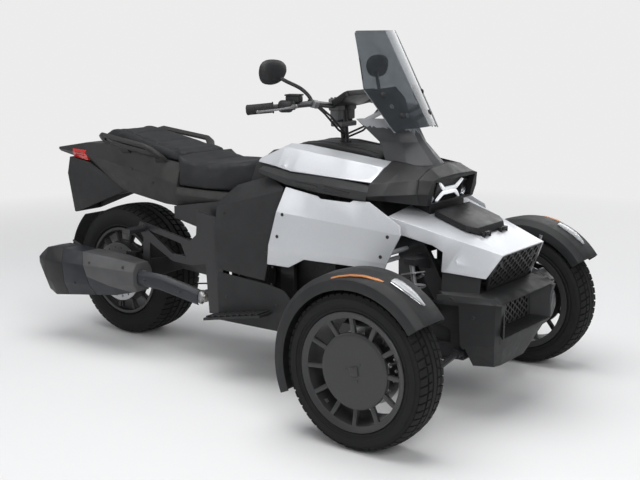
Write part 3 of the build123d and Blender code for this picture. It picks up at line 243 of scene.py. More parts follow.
def moulded(name, colour, rough=0.55, grain=900.0, depth=0.00012, wear=0.14, dust=0.10):
    """Moulded plastic with a fine spark-eroded grain, rubbed edges and a little dust on its top faces."""
    finish = Finish(name)
    cloud = finish.noise(7.0, 4.0)
    rounded = finish.rounded(sizes().moulded_round)
    base = finish.blend(finish.span(cloud, 0.3, 0.7, 0.0, 1.0), shaded(colour, 0.86), shaded(colour, 1.16))
    worn = finish.math("MULTIPLY", finish.edges(rounded), wear)
    base = finish.blend(worn, base, shaded(colour, 2.2))
    settled = finish.span(finish.noise(34.0, 5.0, 0.7), 0.35, 0.75, 0.0, dust)
    film = finish.math("MULTIPLY", finish.up(), settled)
    base = finish.blend(film, base, DUST)
    dimples = finish.math("MULTIPLY", finish.cells(grain * 0.7), 0.6)
    pits = finish.math("ADD", finish.noise(grain, 2.0), dimples)
    roughness = finish.math("ADD", finish.span(finish.noise(26.0, 4.0), 0.3, 0.7, rough - 0.07, rough + 0.07),
                            finish.math("MULTIPLY", film, 0.2))
    finish.set(Base_Color=base, Roughness=roughness, Specular_IOR_Level=0.34,
               Normal=finish.bump(pits, depth, 0.55, rounded))


def painted(name, colour, rough=0.32, metal=0.55, coat=0.45, flake=1500.0):
    """Metallic paint: flakes under a clear coat, with faint swirl marks."""
    finish = Finish(name)
    rounded = finish.rounded(sizes().edge_round)
    flakes = finish.cells(flake, out="Color")
    bright = finish.node("ShaderNodeSeparateColor", {0: flakes})
    base = finish.blend(finish.span(bright.outputs[0], 0.0, 1.0, 0.0, 1.0), shaded(colour, 0.90),
                        shaded(colour, 1.10))
    base = finish.blend(finish.span(finish.noise(3.0, 3.0), 0.35, 0.7, 0.0, 0.35), base, shaded(colour, 0.93))
    brushed = finish.moved(finish.place, scale=(1.0, 1.0, 5.0), turn=(0.3, 0.5, 0.2))
    scuffs = finish.noise(60.0, 6.0, 0.75, brushed)
    roughness = finish.span(scuffs, 0.35, 0.75, rough - 0.05, rough + 0.08)
    ripple = finish.noise(230.0, 2.0)
    finish.set(Base_Color=base, Metallic=metal, Roughness=roughness, Coat_Weight=coat,
               Coat_Roughness=0.12, Normal=finish.bump(ripple, 0.00006, 0.5, rounded))


def bare_metal(name, colour, rough=0.35, cast=True):
    """Cast or drawn metal with tool marks and darker stains."""
    finish = Finish(name)
    rounded = finish.rounded(0.0015)
    stain = finish.span(finish.noise(22.0, 5.0, 0.65), 0.35, 0.75, 0.0, 0.6)
    base = finish.blend(stain, colour, shaded(colour, 0.62))
    base = finish.blend(finish.math("MULTIPLY", finish.edges(rounded), 0.5), base, shaded(colour, 1.5))
    pits = finish.noise(700.0 if cast else 2200.0, 3.0)
    roughness = finish.span(finish.noise(90.0, 4.0), 0.3, 0.7, rough - 0.08, rough + 0.12)
    finish.set(Base_Color=base, Metallic=0.85, Roughness=roughness,
               Normal=finish.bump(pits, 0.00015 if cast else 0.00004, 0.6, rounded))


def tyre_rubber(name, centre):
    """Road tyre: blue-black rubber, greyer on the scrubbed tread, with fine rings on the side wall."""
    finish = Finish(name)
    radius, _ = finish.axle(centre)
    scrub = finish.noise(45.0, 6.0, 0.7)
    base = finish.blend(finish.span(scrub, 0.3, 0.75, 0.0, 1.0), (0.007, 0.007, 0.0075),
                        (0.017, 0.017, 0.0175))
    rings = finish.math("SINE", finish.math("MULTIPLY", radius, tau / 0.0022))
    grain = finish.noise(1500.0, 2.0)
    height = finish.math("ADD", finish.math("MULTIPLY", rings, 0.25), grain)
    finish.set(Base_Color=base, Roughness=finish.span(scrub, 0.3, 0.7, 0.62, 0.86),
               Specular_IOR_Level=0.22, Normal=finish.bump(height, 0.00012, 0.5))


def turned_steel(name, centre, colour=(0.42, 0.42, 0.43)):
    """Ground disc with concentric lines and a faint blue heat tint."""
    finish = Finish(name)
    radius, turn = finish.axle(centre)
    vector = finish.node("ShaderNodeCombineXYZ", {0: finish.math("MULTIPLY", radius, 2600.0),
                                                  1: finish.math("MULTIPLY", turn, 0.6)})
    lines = finish.noise(1.0, 4.0, 0.8, vector.outputs[0])
    base = finish.blend(finish.span(lines, 0.3, 0.7, 0.0, 1.0), shaded(colour, 0.7), shaded(colour, 1.15))
    finish.set(Base_Color=base, Metallic=0.9, Roughness=finish.span(lines, 0.3, 0.7, 0.22, 0.42),
               Normal=finish.bump(lines, 0.00006, 0.6, finish.rounded(0.001)))


def vinyl(name, colour):
    """Grained seat cover with a soft sheen, lighter rub marks and painted shade in the grooves between the
    pebbles of its grain.
    """
    finish = Finish(name)
    pebble = finish.cells(420.0, "DISTANCE_TO_EDGE")
    creases = finish.span(pebble, 0.0, 0.12, 0.0, 1.0)
    rub = finish.span(finish.noise(9.0, 5.0, 0.65), 0.4, 0.75, 0.0, 1.0)
    base = finish.blend(rub, shaded(colour, 0.9), shaded(colour, 1.35))
    # painted shade: the grooves between the grain's pebbles are darkened towards half the cover's colour
    base = finish.blend(finish.span(creases, 0.0, 1.0, 0.35, 0.0), base, shaded(colour, 0.5))
    height = finish.math("ADD", creases, finish.math("MULTIPLY", finish.noise(60.0, 3.0), 0.8))
    finish.set(Base_Color=base, Roughness=finish.span(rub, 0.0, 1.0, 0.60, 0.48),
               Specular_IOR_Level=0.34, Normal=finish.bump(height, 0.00022, 0.5))


def lens(name, colour, transmission=0.75, rough=0.08, glow=0.0):
    """Ribbed lamp lens."""
    finish = Finish(name)
    waves = finish.noise(1.0, 0.0, 0.5, finish.moved(finish.place, scale=(160.0, 160.0, 8.0)))
    ribs = finish.math("SINE", finish.math("MULTIPLY", waves, 40.0))
    cloud = finish.span(finish.noise(120.0, 3.0), 0.3, 0.7, 0.0, 0.5)
    base = finish.blend(cloud, colour, shaded(colour, 0.75))
    finish.set(Base_Color=base, Roughness=rough, Transmission_Weight=transmission, IOR=1.45,
               Coat_Weight=0.5, Coat_Roughness=0.03, Emission_Color=colour,
               Emission_Strength=glow, Normal=finish.bump(ribs, 0.0002, 0.35))


def smoked(name):
    """Tinted clear screen with cloudy patches of lighter and darker tint and of haze."""
    finish = Finish(name)
    haze = finish.noise(18.0, 5.0, 0.7)
    base = finish.blend(finish.span(haze, 0.3, 0.7, 0.0, 1.0), (0.11, 0.125, 0.14), (0.17, 0.19, 0.205))
    finish.set(Base_Color=base, Roughness=finish.span(haze, 0.3, 0.8, 0.02, 0.10), IOR=1.10,
               Transmission_Weight=0.92, Coat_Weight=0.6, Coat_Roughness=0.02,
               Normal=finish.bump(finish.noise(40.0, 2.0), 0.00005, 0.3))


def make_finishes():
    paint = colours()
    painted("silver_paint", paint.silver, rough=0.40, metal=0.42, coat=0.25)
    moulded("dark_plastic", paint.charcoal)
    moulded("black_plastic", paint.black, rough=0.42)
    moulded("grey_plastic", paint.tail_grey, rough=0.5)
    painted("rim_paint", paint.wheel_grey, rough=0.42, metal=0.30, coat=0.18)
    painted("frame_paint", (0.020, 0.020, 0.022), rough=0.42, metal=0.2, coat=0.2)
    bare_metal("engine_casting", (0.040, 0.040, 0.042), 0.5)
    bare_metal("bare_aluminium", (0.34, 0.34, 0.35), 0.4)
    painted("spring_steel", (0.16, 0.16, 0.165), rough=0.32, metal=0.3, coat=0.5)
    bare_metal("muffler_shell", (0.10, 0.10, 0.10), 0.42)
    bare_metal("steel_pipe", (0.36, 0.35, 0.33), 0.3, cast=False)
    moulded("belt_rubber", (0.015, 0.015, 0.015), rough=0.7, wear=0.1)
    moulded("grip_rubber", (0.016, 0.016, 0.017), rough=0.70, grain=500.0, depth=0.0003)
    vinyl("seat_vinyl", paint.seat_vinyl)
    lens("lamp_lens", (0.86, 0.88, 0.90), 0.5, 0.12)
    lens("red_lens", paint.red, 0.35, 0.12, 0.15)
    lens("amber_lens", paint.amber, 0.25, 0.15, 0.03)
    moulded("tower_metal", (0.058, 0.059, 0.062), rough=0.46)
    moulded("silencer_grey", (0.072, 0.072, 0.074), rough=0.42)
    moulded("silencer_band", (0.014, 0.016, 0.021), rough=0.4)
    moulded("clamp_grey", (0.085, 0.085, 0.087), rough=0.42)
    moulded("wing_grey", (0.33, 0.335, 0.35), rough=0.44)
    moulded("shield_metal", (0.030, 0.032, 0.038), rough=0.38)
    bare_metal("chrome", (0.72, 0.73, 0.75), 0.12, cast=False)
    lens("lit_bar", (0.92, 0.94, 0.97), 0.0, 0.2, 0.45)
    lens("lamp_glass", (0.80, 0.84, 0.88), 0.85, 0.05)
    bare_metal("mirror_glass", (0.80, 0.82, 0.85), 0.10, cast=False)
    moulded("display_glass", (0.006, 0.007, 0.009), rough=0.12, grain=2400.0,
            depth=0.00001, wear=0.0, dust=0.05)
    vinyl("seat_thread", (0.060, 0.062, 0.068))
    smoked("smoked_screen")
    moulded("screen_black", (0.008, 0.009, 0.011), rough=0.16, grain=2400.0,
            depth=0.00002, wear=0.1, dust=0.05)
    for name, centre in AXLES.items():
        tyre_rubber(f"tyre_{name}", centre)
        turned_steel(f"disc_{name}", centre)


def dress_nodes():
    """Gives every CAD node the finish of its slot; tyres and discs have one for each wheel."""
    for part in frame["record"]["subparts"]:
        node, slot = part["node"], part["material_slot"]
        material = finishes[node if slot in ("tyre", "disc_steel") else slot]
        for holder in NODES[node].material_slots:
            holder.material = material


# ---------------------------------------------------------------- mesh helpers
def rod(bm, start, end, radius, far_radius=None, sides=16):
    """Round bar or cone between two points."""
    start, end = Vector(start), Vector(end)
    run = end - start
    place = Matrix.Translation((start + end) / 2) @ run.to_track_quat("Z", "Y").to_matrix().to_4x4()
    far_radius = radius if far_radius is None else far_radius
    return bmesh.ops.create_cone(bm, cap_ends=True, segments=sides, radius1=radius, radius2=far_radius,
                                 depth=run.length, matrix=place)["verts"]


def spoke(turn):
    """Unit vector across the axles, turned upwards from straight ahead."""
    return Vector((cos(turn), 0, sin(turn)))


def edges_of(verts):
    return list({edge for vert in verts for edge in vert.link_edges})


def rounded_edges(bm, edges, width, segments=2):
    bmesh.ops.bevel(bm, geom=edges, offset=width, segments=segments, profile=0.5, affect="EDGES", material=-1,
                    clamp_overlap=True)


def slab(bm, centre, size, facing=Matrix.Identity(3), bevel=0.0, segments=2):
    """Box about a centre, turned by a 3x3 matrix, with rounded edges."""
    place = Matrix.Translation(centre) @ facing.to_4x4() @ Matrix.Diagonal((*size, 1.0))
    verts = bmesh.ops.create_cube(bm, size=1.0, matrix=place)["verts"]
    if bevel > 0:
        rounded_edges(bm, edges_of(verts), bevel, segments)


def plate(bm, outline, thickness, bevel=0.0, segments=2):
    """Flat outline of points thickened along a vector, with rounded edges."""
    verts = [bm.verts.new(point) for point in outline]
    face = bm.faces.new(verts)
    made = bmesh.ops.extrude_face_region(bm, geom=[face], use_keep_orig=True)["geom"]
    top = [item for item in made if isinstance(item, bmesh.types.BMVert)]
    bmesh.ops.translate(bm, verts=top, vec=Vector(thickness))
    if bevel > 0:
        rounded_edges(bm, edges_of(verts + top), bevel, segments)


def turned(bm, outline, centre, axis, steps=48, closed=False):
    """Outline of (along the axis, radius) spun a full turn."""
    centre, axis = Vector(centre), Vector(axis).normalized()
    side = axis.orthogonal().normalized()
    verts = [bm.verts.new(centre + axis * along + side * radius) for along, radius in outline]
    after = verts[1:] + (verts[:1] if closed else [])
    edges = [bm.edges.new(pair) for pair in zip(verts, after)]
    before = set(bm.verts) - set(verts)
    bmesh.ops.spin(bm, geom=verts + edges, cent=centre, axis=axis, angle=tau, steps=steps, use_merge=True)
    bmesh.ops.remove_doubles(bm, verts=[vert for vert in bm.verts if vert not in before], dist=1e-6)


def tube(bm, points, radii, sides=12):
    """Round tube along points; radii is one radius or one for each point."""
    points = [Vector(point) for point in points]
    radii = list(radii) if isinstance(radii, (list, tuple)) else [radii] * len(points)
    runs = [(after - before).normalized() for before, after in zip(points, points[1:])]
    facing = [runs[0], *[(a + b).normalized() for a, b in zip(runs, runs[1:])], runs[-1]]
    place = Matrix.Translation(points[0]) @ facing[0].to_track_quat("Z", "Y").to_matrix().to_4x4()
    ring = bmesh.ops.create_circle(bm, cap_ends=True, segments=sides, radius=radii[0], matrix=place)["verts"]
    face = ring[0].link_faces[0]
    for index in range(1, len(points)):
        made = bmesh.ops.extrude_face_region(bm, geom=[face], use_keep_orig=index == 1)["geom"]
        ring = [item for item in made if isinstance(item, bmesh.types.BMVert)]
        face = next(item for item in made if isinstance(item, bmesh.types.BMFace))
        turn = facing[index - 1].rotation_difference(facing[index]).to_matrix().to_4x4()
        grow = Matrix.Scale(radii[index] / radii[index - 1], 4)
        bmesh.ops.transform(bm, verts=ring, matrix=Matrix.Translation(points[index]) @ turn @ grow
                            @ Matrix.Translation(-points[index - 1]))


def curved(points, steps=8):
    """Points on a smooth line through the given ones."""
    points = [Vector(point) for point in points]
    padded = [2 * points[0] - points[1], *points, 2 * points[-1] - points[-2]]
    line = []
    for a, b, c, d in zip(padded, padded[1:], padded[2:], padded[3:]):
        for step in range(steps):
            t = step / steps
            line.append(0.5 * (2 * b + (c - a) * t + (2 * a - 5 * b + 4 * c - d) * t * t
                               + (3 * b - a - 3 * c + d) * t * t * t))
    line.append(points[-1])
    return line


def screw(bm, spot, axis, radius=0.006, proud=0.0022):
    """Button head screw with a round socket."""
    spot, axis = Vector(spot), Vector(axis).normalized()
    turned(bm, [(-0.001, radius), (proud * 0.55, radius), (proud * 0.9, radius * 0.8), (proud, radius * 0.52),
                (proud * 0.35, radius * 0.46), (proud * 0.35, 0.0)], spot, axis, 18)


def hex_bolt(bm, spot, axis, radius=0.008, height=0.006):
    spot, axis = Vector(spot), Vector(axis).normalized()
    rod(bm, spot - axis * 0.001, spot + axis * 0.0015, radius * 1.35, sides=20)
    verts = rod(bm, spot + axis * 0.0015, spot + axis * height, radius, radius * 0.96, sides=6)
    rounded_edges(bm, edges_of(verts), radius * 0.08, 1)


def publish(bm, name, body, finish, crease=32.0):
    """Makes an object of a finished mesh, on its body and with its finish."""
    bmesh.ops.recalc_face_normals(bm, faces=bm.faces)
    mesh = bpy.data.meshes.new(name)
    bm.to_mesh(mesh)
    bm.free()
    mesh.shade_smooth()
    mesh.set_sharp_from_angle(angle=radians(crease))
    for material in finish if isinstance(finish, (list, tuple)) else [finish]:
        mesh.materials.append(finishes[material])
    made = bpy.data.objects.new(name, mesh)
    bpy.context.scene.collection.objects.link(made)
    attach(made, body)
    return made


def node_body(node):
    for body, nodes in frame["record"]["behaviour"]["bodies"].items():
        if node in nodes:
            return body
    raise RuntimeError(f"no body carries {node}")


def copied(node):
    """The surface of a CAD node, merged, with its flat faces joined."""
    source = NODES[node]
    bm = bmesh.new()
    bm.from_mesh(source.data)
    bmesh.ops.transform(bm, matrix=source.matrix_world, verts=bm.verts)
    bmesh.ops.remove_doubles(bm, verts=bm.verts, dist=2e-5)
    bmesh.ops.dissolve_limit(bm, angle_limit=radians(0.6), verts=bm.verts, edges=bm.edges)
    return bm


def soften(bm, width, sharp=24.0, segments=2):
    """Rounds every edge that folds by more than an angle."""
    edges = [edge for edge in bm.edges if len(edge.link_faces) == 2
             and edge.calc_face_angle(0.0) > radians(sharp)]
    rounded_edges(bm, edges, width, segments)


def skinned(node, bm, finish, crease=32.0):
    """Puts a reworked copy of a CAD node's surface in its place."""
    made = publish(bm, f"{node}_skin", node_body(node), finish, crease)
    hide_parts(node)


def softened(node, width, finish, sharp=24.0, segments=2):
    """A CAD node's surface with really rounded edges, in its place."""
    bm = copied(node)
    soften(bm, width, sharp, segments)
    skinned(node, bm, finish)


# ---------------------------------------------------------------- wheels
TREAD_ROWS = (0.0, 0.14, 0.22, 0.50, 0.585, 0.83, 1.0)  # shares of the way to the tread's edge
BLOCK_ROWS = (0.22, 0.585, 0.83)
LAST_BLOCK = 0.83
SHOULDER_INSET = 0.012
TYRE_SEAT = 0.1905
FRONT_SPOKES = 12
RIM_LIP = {"front_left": 0.2085, "front_right": 0.2085, "rear": 0.2025}
BEAD = {"front_left": 0.0715, "front_right": 0.0715, "rear": 0.0955}


def tyre_outline(half, outer, bead, seat, lip):
    """(outline, rows): closed section of a tyre as (across, radius), with the tread sunk to its groove
    floor, and for each stretch of it the tread row that it belongs to, or None."""
    depth = sizes().tread_depth
    edge = half - SHOULDER_INSET
    crown_drop, edge_drop = 0.006, 0.0135
    tread = []
    for t in TREAD_ROWS[:-1]:
        tread.append((t * edge, outer - crown_drop * (t / LAST_BLOCK) ** 2 - depth))
    tread.append((edge, outer - edge_drop - depth * 0.75))
    middle = (lip + outer) / 2
    wall = [(half - 0.0075, outer - 0.026), (half - 0.0035, outer - 0.036), (half - 0.0008, middle + 0.008),
            (half - 0.0008, middle + 0.003), (half, middle), (half - 0.0012, middle - 0.014),
            (half - 0.0045, lip + 0.022), (half - 0.0078, lip + 0.014), (half - 0.0062, lip + 0.010),
            (bead + 0.0035, lip + 0.0035), (bead, lip + 0.0015), (bead, seat)]
    inner = [(bead - 0.014, seat), (half - 0.011, middle), (half - 0.028, outer - 0.020)]
    rightward = tread + wall + inner
    outline = rightward + [(-across, radius) for across, radius in reversed(rightward)][:-1]
    rows = [None] * len(outline)
    for index, row in enumerate(TREAD_ROWS[:-1]):
        rows[index] = rows[-1 - index] = row
    return outline, rows


def make_tyre(name, pitches):
    """Tyre with ribs and slanted blocks raised from its groove floor."""
    node = f"tyre_{name}"
    low, high = (Vector(corner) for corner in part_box(node))
    half, outer = (high.y - low.y) / 2, (high.z - low.z) / 2
    outline, rows = tyre_outline(half, outer, BEAD[name], TYRE_SEAT, RIM_LIP[name])
    centre = AXLES[name]
    bm = bmesh.new()
    verts = [bm.verts.new(centre + Vector((0, across, radius))) for across, radius in outline]
    edges = [bm.edges.new(pair) for pair in zip(verts, verts[1:] + verts[:1])]
    columns = pitches * 3
    bmesh.ops.spin(bm, geom=verts + edges, cent=centre, axis=(0, 1, 0), angle=tau, steps=columns,
                   use_merge=True)
    step = tau / columns

    def place(point):
        offset = point - centre
        return offset.y, sqrt(offset.x ** 2 + offset.z ** 2), atan2(offset.x, offset.z) % tau

    marks = {}
    for vert in bm.verts:
        across, radius, turn = place(vert.co)
        nearest = min(range(len(outline)), key=lambda index: abs(outline[index][0] - across)
                      + abs(outline[index][1] - radius))
        marks[vert] = (nearest, round(turn / step) % columns)
    ribs, blocks = [], []
    for face in bm.faces:
        found = sorted({marks[vert][0] for vert in face.verts})
        stretch = found[0] if found[1] - found[0] == 1 else found[1]
        row = rows[stretch]
        if row is None:
            continue
        turns = sorted({marks[vert][1] for vert in face.verts})
        column = turns[0] if turns[1] - turns[0] == 1 else turns[1]
        if row == 0.0:
            ribs.append(face)
        elif row in BLOCK_ROWS and column % 3 < 2:
            blocks.append(face)
    # narrow the cross grooves and slant them, more towards the shoulders
    edge = half - SHOULDER_INSET
    groups = {}
    for vert, (index, column) in marks.items():
        across, radius = outline[index]
        if rows[index] is None and rows[index - 1] is None:
            continue
        reach = across / edge
        slant = 1.5 * abs(reach) + (0.5 if reach < 0 else 0.0)
        shift = ((0.0, 0.36, 0.84)[column % 3] * 3 - column % 3 + slant) * step
        groups.setdefault(round(shift, 6), []).append(vert)
    for shift, members in groups.items():
        bmesh.ops.rotate(bm, verts=members, cent=centre, matrix=Matrix.Rotation(shift, 3, "Y"))
    bmesh.ops.recalc_face_normals(bm, faces=bm.faces)
    depth = sizes().tread_depth
    bmesh.ops.inset_region(bm, faces=ribs, thickness=0.0012, depth=depth, use_even_offset=True)
    bmesh.ops.inset_region(bm, faces=blocks, thickness=0.0010, depth=depth, use_even_offset=True)
    made = publish(bm, f"treaded_tyre_{name}", node_body(node), node, 26.0)
    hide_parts(node)


def front_rim(bm, centre, outward):
    """Barrel with lips, a smooth face over the hub and spokes between them."""
    turned(bm, [(-0.0790, 0.1840), (-0.0790, 0.2085), (-0.0722, 0.2085), (-0.0718, 0.1905), (0.0718, 0.1905),
                (0.0722, 0.2085), (0.0775, 0.2085), (0.0790, 0.2068), (0.0790, 0.2048), (0.0770, 0.2005),
                (0.0705, 0.1862), (0.0640, 0.1845)], centre, outward, 96, closed=True)
    turned(bm, [(0.0440, 0.0), (0.0440, 0.0221), (-0.0400, 0.0221), (-0.0400, 0.0480), (0.0300, 0.0480),
                (0.0460, 0.1180), (0.0460, 0.1330), (0.0560, 0.1345), (0.0605, 0.1325), (0.0628, 0.1280),
                (0.0632, 0.1200), (0.0612, 0.0560), (0.0600, 0.0)], centre, outward, 96)
    for index in range(FRONT_SPOKES):
        angle = index * tau / FRONT_SPOKES + 0.035
        reach = spoke(angle)
        inner, outer = centre + reach * 0.1300 + outward * 0.0520, centre + reach * 0.1890 + outward * 0.0640
        along = (outer - inner).normalized()
        across = spoke(angle + pi / 2)
        facing = Matrix((along, across, along.cross(across))).transposed()
        slab(bm, (inner + outer) / 2, ((outer - inner).length, 0.0175, 0.0150), facing, 0.0035, 2)
    face = centre + outward * 0.0600
    facing = Matrix((spoke(0.2), spoke(0.2 + pi / 2), outward)).transposed()
    slab(bm, face + outward * 0.0015, (0.034, 0.034, 0.010), facing, 0.0045, 3)
    for turn in range(3):
        spot = face + spoke(turn * tau / 3 + 0.9) * 0.034
        rod(bm, spot - outward * 0.002, spot + outward * 0.0028, 0.0060, 0.0050, 18)


def make_rim(name):
    """Rim with its windows, and its valve and balance weights."""
    node = f"rim_{name}"
    body = node_body(node)
    centre = AXLES[name]
    side = -1.0 if centre.y < 0 or name == "rear" else 1.0
    outward = Vector((0, side, 0))
    if name == "rear":
        softened(node, 0.0022, "rim_paint", 30.0)
    else:
        bm = bmesh.new()
        front_rim(bm, centre, outward)
        made = publish(bm, f"spoked_{node}", body, "rim_paint", crease=30.0)
        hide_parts(node)
    bm = bmesh.new()
    reach = spoke(0.35)
    foot = centre + reach * 0.1840 + outward * (0.080 if name == "rear" else 0.054)
    head = foot + outward * 0.019 - reach * 0.015
    tube(bm, [foot, foot + outward * 0.008 - reach * 0.003, head - outward * 0.006 + reach * 0.004, head],
         [0.0052, 0.0040, 0.0036, 0.0036], 14)
    rod(bm, head, head + (head - foot).normalized() * 0.008, 0.0044, 0.0040, 12)
    publish(bm, f"tyre_valve_{name}", body, "belt_rubber")
    if name != "rear":
        bm = bmesh.new()
        for turn in range(2):
            angle = turn * pi + 0.8
            along = spoke(angle)
            facing = Matrix((spoke(angle + pi / 2), outward, along)).transposed()
            slab(bm, centre + along * 0.1862 + outward * 0.040, (0.030, 0.018, 0.004), facing, 0.001, 1)
        publish(bm, f"balance_weights_{name}", body, "bare_aluminium")


class TRIKE_OT_wheels(bpy.types.Operator):
    """Makes the treaded tyres, the rims with their caps and valves, and the balance weights."""
    bl_idname = "trike.wheels"
    bl_label = "Wheels"

    def execute(self, context):
        for name in AXLES:
            make_tyre(name, sizes().tread_pitches)
            make_rim(name)
        return {"FINISHED"}


# ---------------------------------------------------------------- seats
CLOTH_STEPS = 20
CLOTH = {
    "quality": 5, "mass": 0.3, "tension_stiffness": 40.0, "compression_stiffness": 40.0,
    "bending_stiffness": 6.0, "use_pressure": True, "uniform_pressure_force": 2.2,
    "vertex_group_mass": "held",
}


def near_line(point, line):
    """Distance in plan from a polyline of (x, y)."""
    best = 1.0
    for (ax, ay), (bx, by) in zip(line, line[1:]):
        run = Vector((bx - ax, by - ay))
        t = max(0.0, min(1.0, Vector((point.x - ax, point.y - ay)).dot(run) / run.length_squared))
        best = min(best, (Vector((ax, ay)) + run * t - Vector((point.x, point.y))).length)
    return best


def evened(mesh, times, shrink=0.0):
    """Smooths a mesh a few times, then moves its surface inwards."""
    bm = bmesh.new()
    bm.from_mesh(mesh)
    for _ in range(times):
        bmesh.ops.smooth_vert(bm, verts=bm.verts, factor=0.5, use_axis_x=True, use_axis_y=True,
                              use_axis_z=True)
    bm.normal_update()
    for vert in bm.verts:
        vert.co -= vert.normal * shrink
    bm.to_mesh(mesh)
    bm.free()


def stuffed(node, cap, shrink, pinned_below):
    """Mesh of a cushion blown up from a slightly smaller copy of its solid."""
    scene = bpy.context.scene
    bm = copied(node)
    mesh = bpy.data.meshes.new(f"{node}_form")
    bm.to_mesh(mesh)
    bm.free()
    form = bpy.data.objects.new(f"{node}_form", mesh)
    scene.collection.objects.link(form)
    remesh = form.modifiers.new("remesh", "REMESH")
    remesh.mode = "VOXEL"
    remesh.voxel_size = sizes().seat_voxel
    fine = bpy.data.meshes.new_from_object(form.evaluated_get(bpy.context.evaluated_depsgraph_get()))
    form.modifiers.clear()
    form.data = fine
    evened(fine, 5, shrink)
    held = form.vertex_groups.new(name="held")
    held.add([vert.index for vert in fine.vertices if vert.co.z < pinned_below(vert.co.x)], 1.0, "ADD")
    cloth = form.modifiers.new("cloth", "CLOTH")
    for key, value in CLOTH.items():
        setattr(cloth.settings, key, value)
    cloth.settings.effector_weights.gravity = 0.0
    cloth.point_cache.frame_start = 1
    cloth.point_cache.frame_end = CLOTH_STEPS
    for step in range(1, CLOTH_STEPS + 1):
        scene.frame_set(step)
    blown = form.evaluated_get(bpy.context.evaluated_depsgraph_get()).to_mesh()
    moved = [vert.co.copy() for vert in blown.vertices]
    form.modifiers.clear()
    for vert, place in zip(fine.vertices, moved):
        shift = place - vert.co
        if shift.length > cap:
            shift *= cap / shift.length
        vert.co += shift
    scene.frame_set(1)
    evened(fine, 7)
    form.vertex_groups.clear()
    finer = form.modifiers.new("finer", "SUBSURF")
    finer.levels = finer.render_levels = 1
    result = bpy.data.meshes.new_from_object(form.evaluated_get(bpy.context.evaluated_depsgraph_get()))
    bpy.data.objects.remove(form)
    bm = bmesh.new()
    bm.from_mesh(result)
    return bm


def sew(bm, seams, depth=0.0035, width=0.0048):
    """Pulls the cover in along seams drawn in plan on its upper face."""
    bm.normal_update()
    for vert in bm.verts:
        if vert.normal.z < 0.25:
            continue
        for line in seams:
            gap = near_line(vert.co, line)
            if gap < 3 * width:
                vert.co -= vert.normal * depth * 2.718 ** (-(gap / width) ** 2)


def stitches(tree, seams, offset=0.0058, pitch=0.0095):
    """Thread stitches on both sides of each seam, laid on the cover."""
    bm = bmesh.new()
    for line in seams:
        for (ax, ay), (bx, by) in zip(line, line[1:]):
            start, run = Vector((ax, ay, 2.0)), Vector((bx - ax, by - ay, 0.0))
            length = run.length
            along = run / length
            side = Vector((-along.y, along.x, 0.0))
            for step in range(int(length / pitch)):
                for turn in (-1, 1):
                    ends = []
                    for part in (0.18, 0.78):
                        spot = start + along * pitch * (step + part) + side * offset * turn
                        hit, normal, _, _ = tree.ray_cast(spot, Vector((0, 0, -1)))
                        if hit is not None and normal.z > 0.3:
                            ends.append(hit + normal * 0.0003)
                    if len(ends) == 2 and (ends[0] - ends[1]).length < pitch * 1.6:
                        rod(bm, ends[0], ends[1], 0.00055, sides=5)
    return bm


def mirrored(line):
    """A seam and its mirror image across the middle of the vehicle."""
    return [line, [(x, -y) for x, y in line]]


RIDER_SEAMS = [
    *mirrored([(0.098, 0.082), (0.020, 0.100), (-0.060, 0.132), (-0.140, 0.146), (-0.222, 0.142)]),
    [(-0.222, 0.142), (-0.236, 0.070), (-0.240, 0.0), (-0.236, -0.070), (-0.222, -0.142)],
    [(0.040, 0.094), (0.022, 0.0), (0.040, -0.094)],
]
PASSENGER_SEAMS = [
    *mirrored([(-0.385, 0.112), (-0.500, 0.116), (-0.640, 0.106), (-0.760, 0.090), (-0.846, 0.062)]),
    [(-0.846, 0.062), (-0.852, 0.0), (-0.846, -0.062)],
    [(-0.500, 0.114), (-0.512, 0.0), (-0.500, -0.114)],
    [(-0.655, 0.103), (-0.668, 0.0), (-0.655, -0.103)],
]


class TRIKE_OT_seats(bpy.types.Operator):
    """Makes the rider's and the passenger's seat with their seams and stitching."""
    bl_idname = "trike.seats"
    bl_label = "Seats"

    def execute(self, context):
        for node, seams, floor in (
            ("rider_seat", RIDER_SEAMS, lambda x: 0.760),
            ("passenger_seat", PASSENGER_SEAMS, lambda x: 0.868 + (-0.40 - x) * 0.12),
        ):
            bm = stuffed(node, sizes().seat_swell, sizes().seat_shrink, floor)
            sew(bm, seams)
            thread = stitches(BVHTree.FromBMesh(bm), seams)
            if not thread.verts:
                raise RuntimeError(f"no stitches landed on {node}")
            made = publish(bm, f"{node}_cover", node_body(node), "seat_vinyl", crease=80.0)
            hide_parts(node)
            publish(thread, f"{node}_stitching", node_body(node), "seat_thread")
        return {"FINISHED"}


# ---------------------------------------------------------------- body panels
def groove(bm, spot, across, width, depth):
    """Narrow seam sunk into a surface along a cutting plane."""
    spot, across = Vector(spot), Vector(across).normalized()
    for offset in (-width, 0.0, width):
        geom = bm.verts[:] + bm.edges[:] + bm.faces[:]
        bmesh.ops.bisect_plane(bm, geom=geom, dist=1e-5, plane_co=spot + across * offset, plane_no=across)
    bm.normal_update()
    middle = [vert for vert in bm.verts if abs((vert.co - spot).dot(across)) < 2e-5]
    sunk = [(vert, vert.normal.copy()) for vert in middle]
    for vert, normal in sunk:
        vert.co -= (normal - across * normal.dot(across)).normalized() * depth


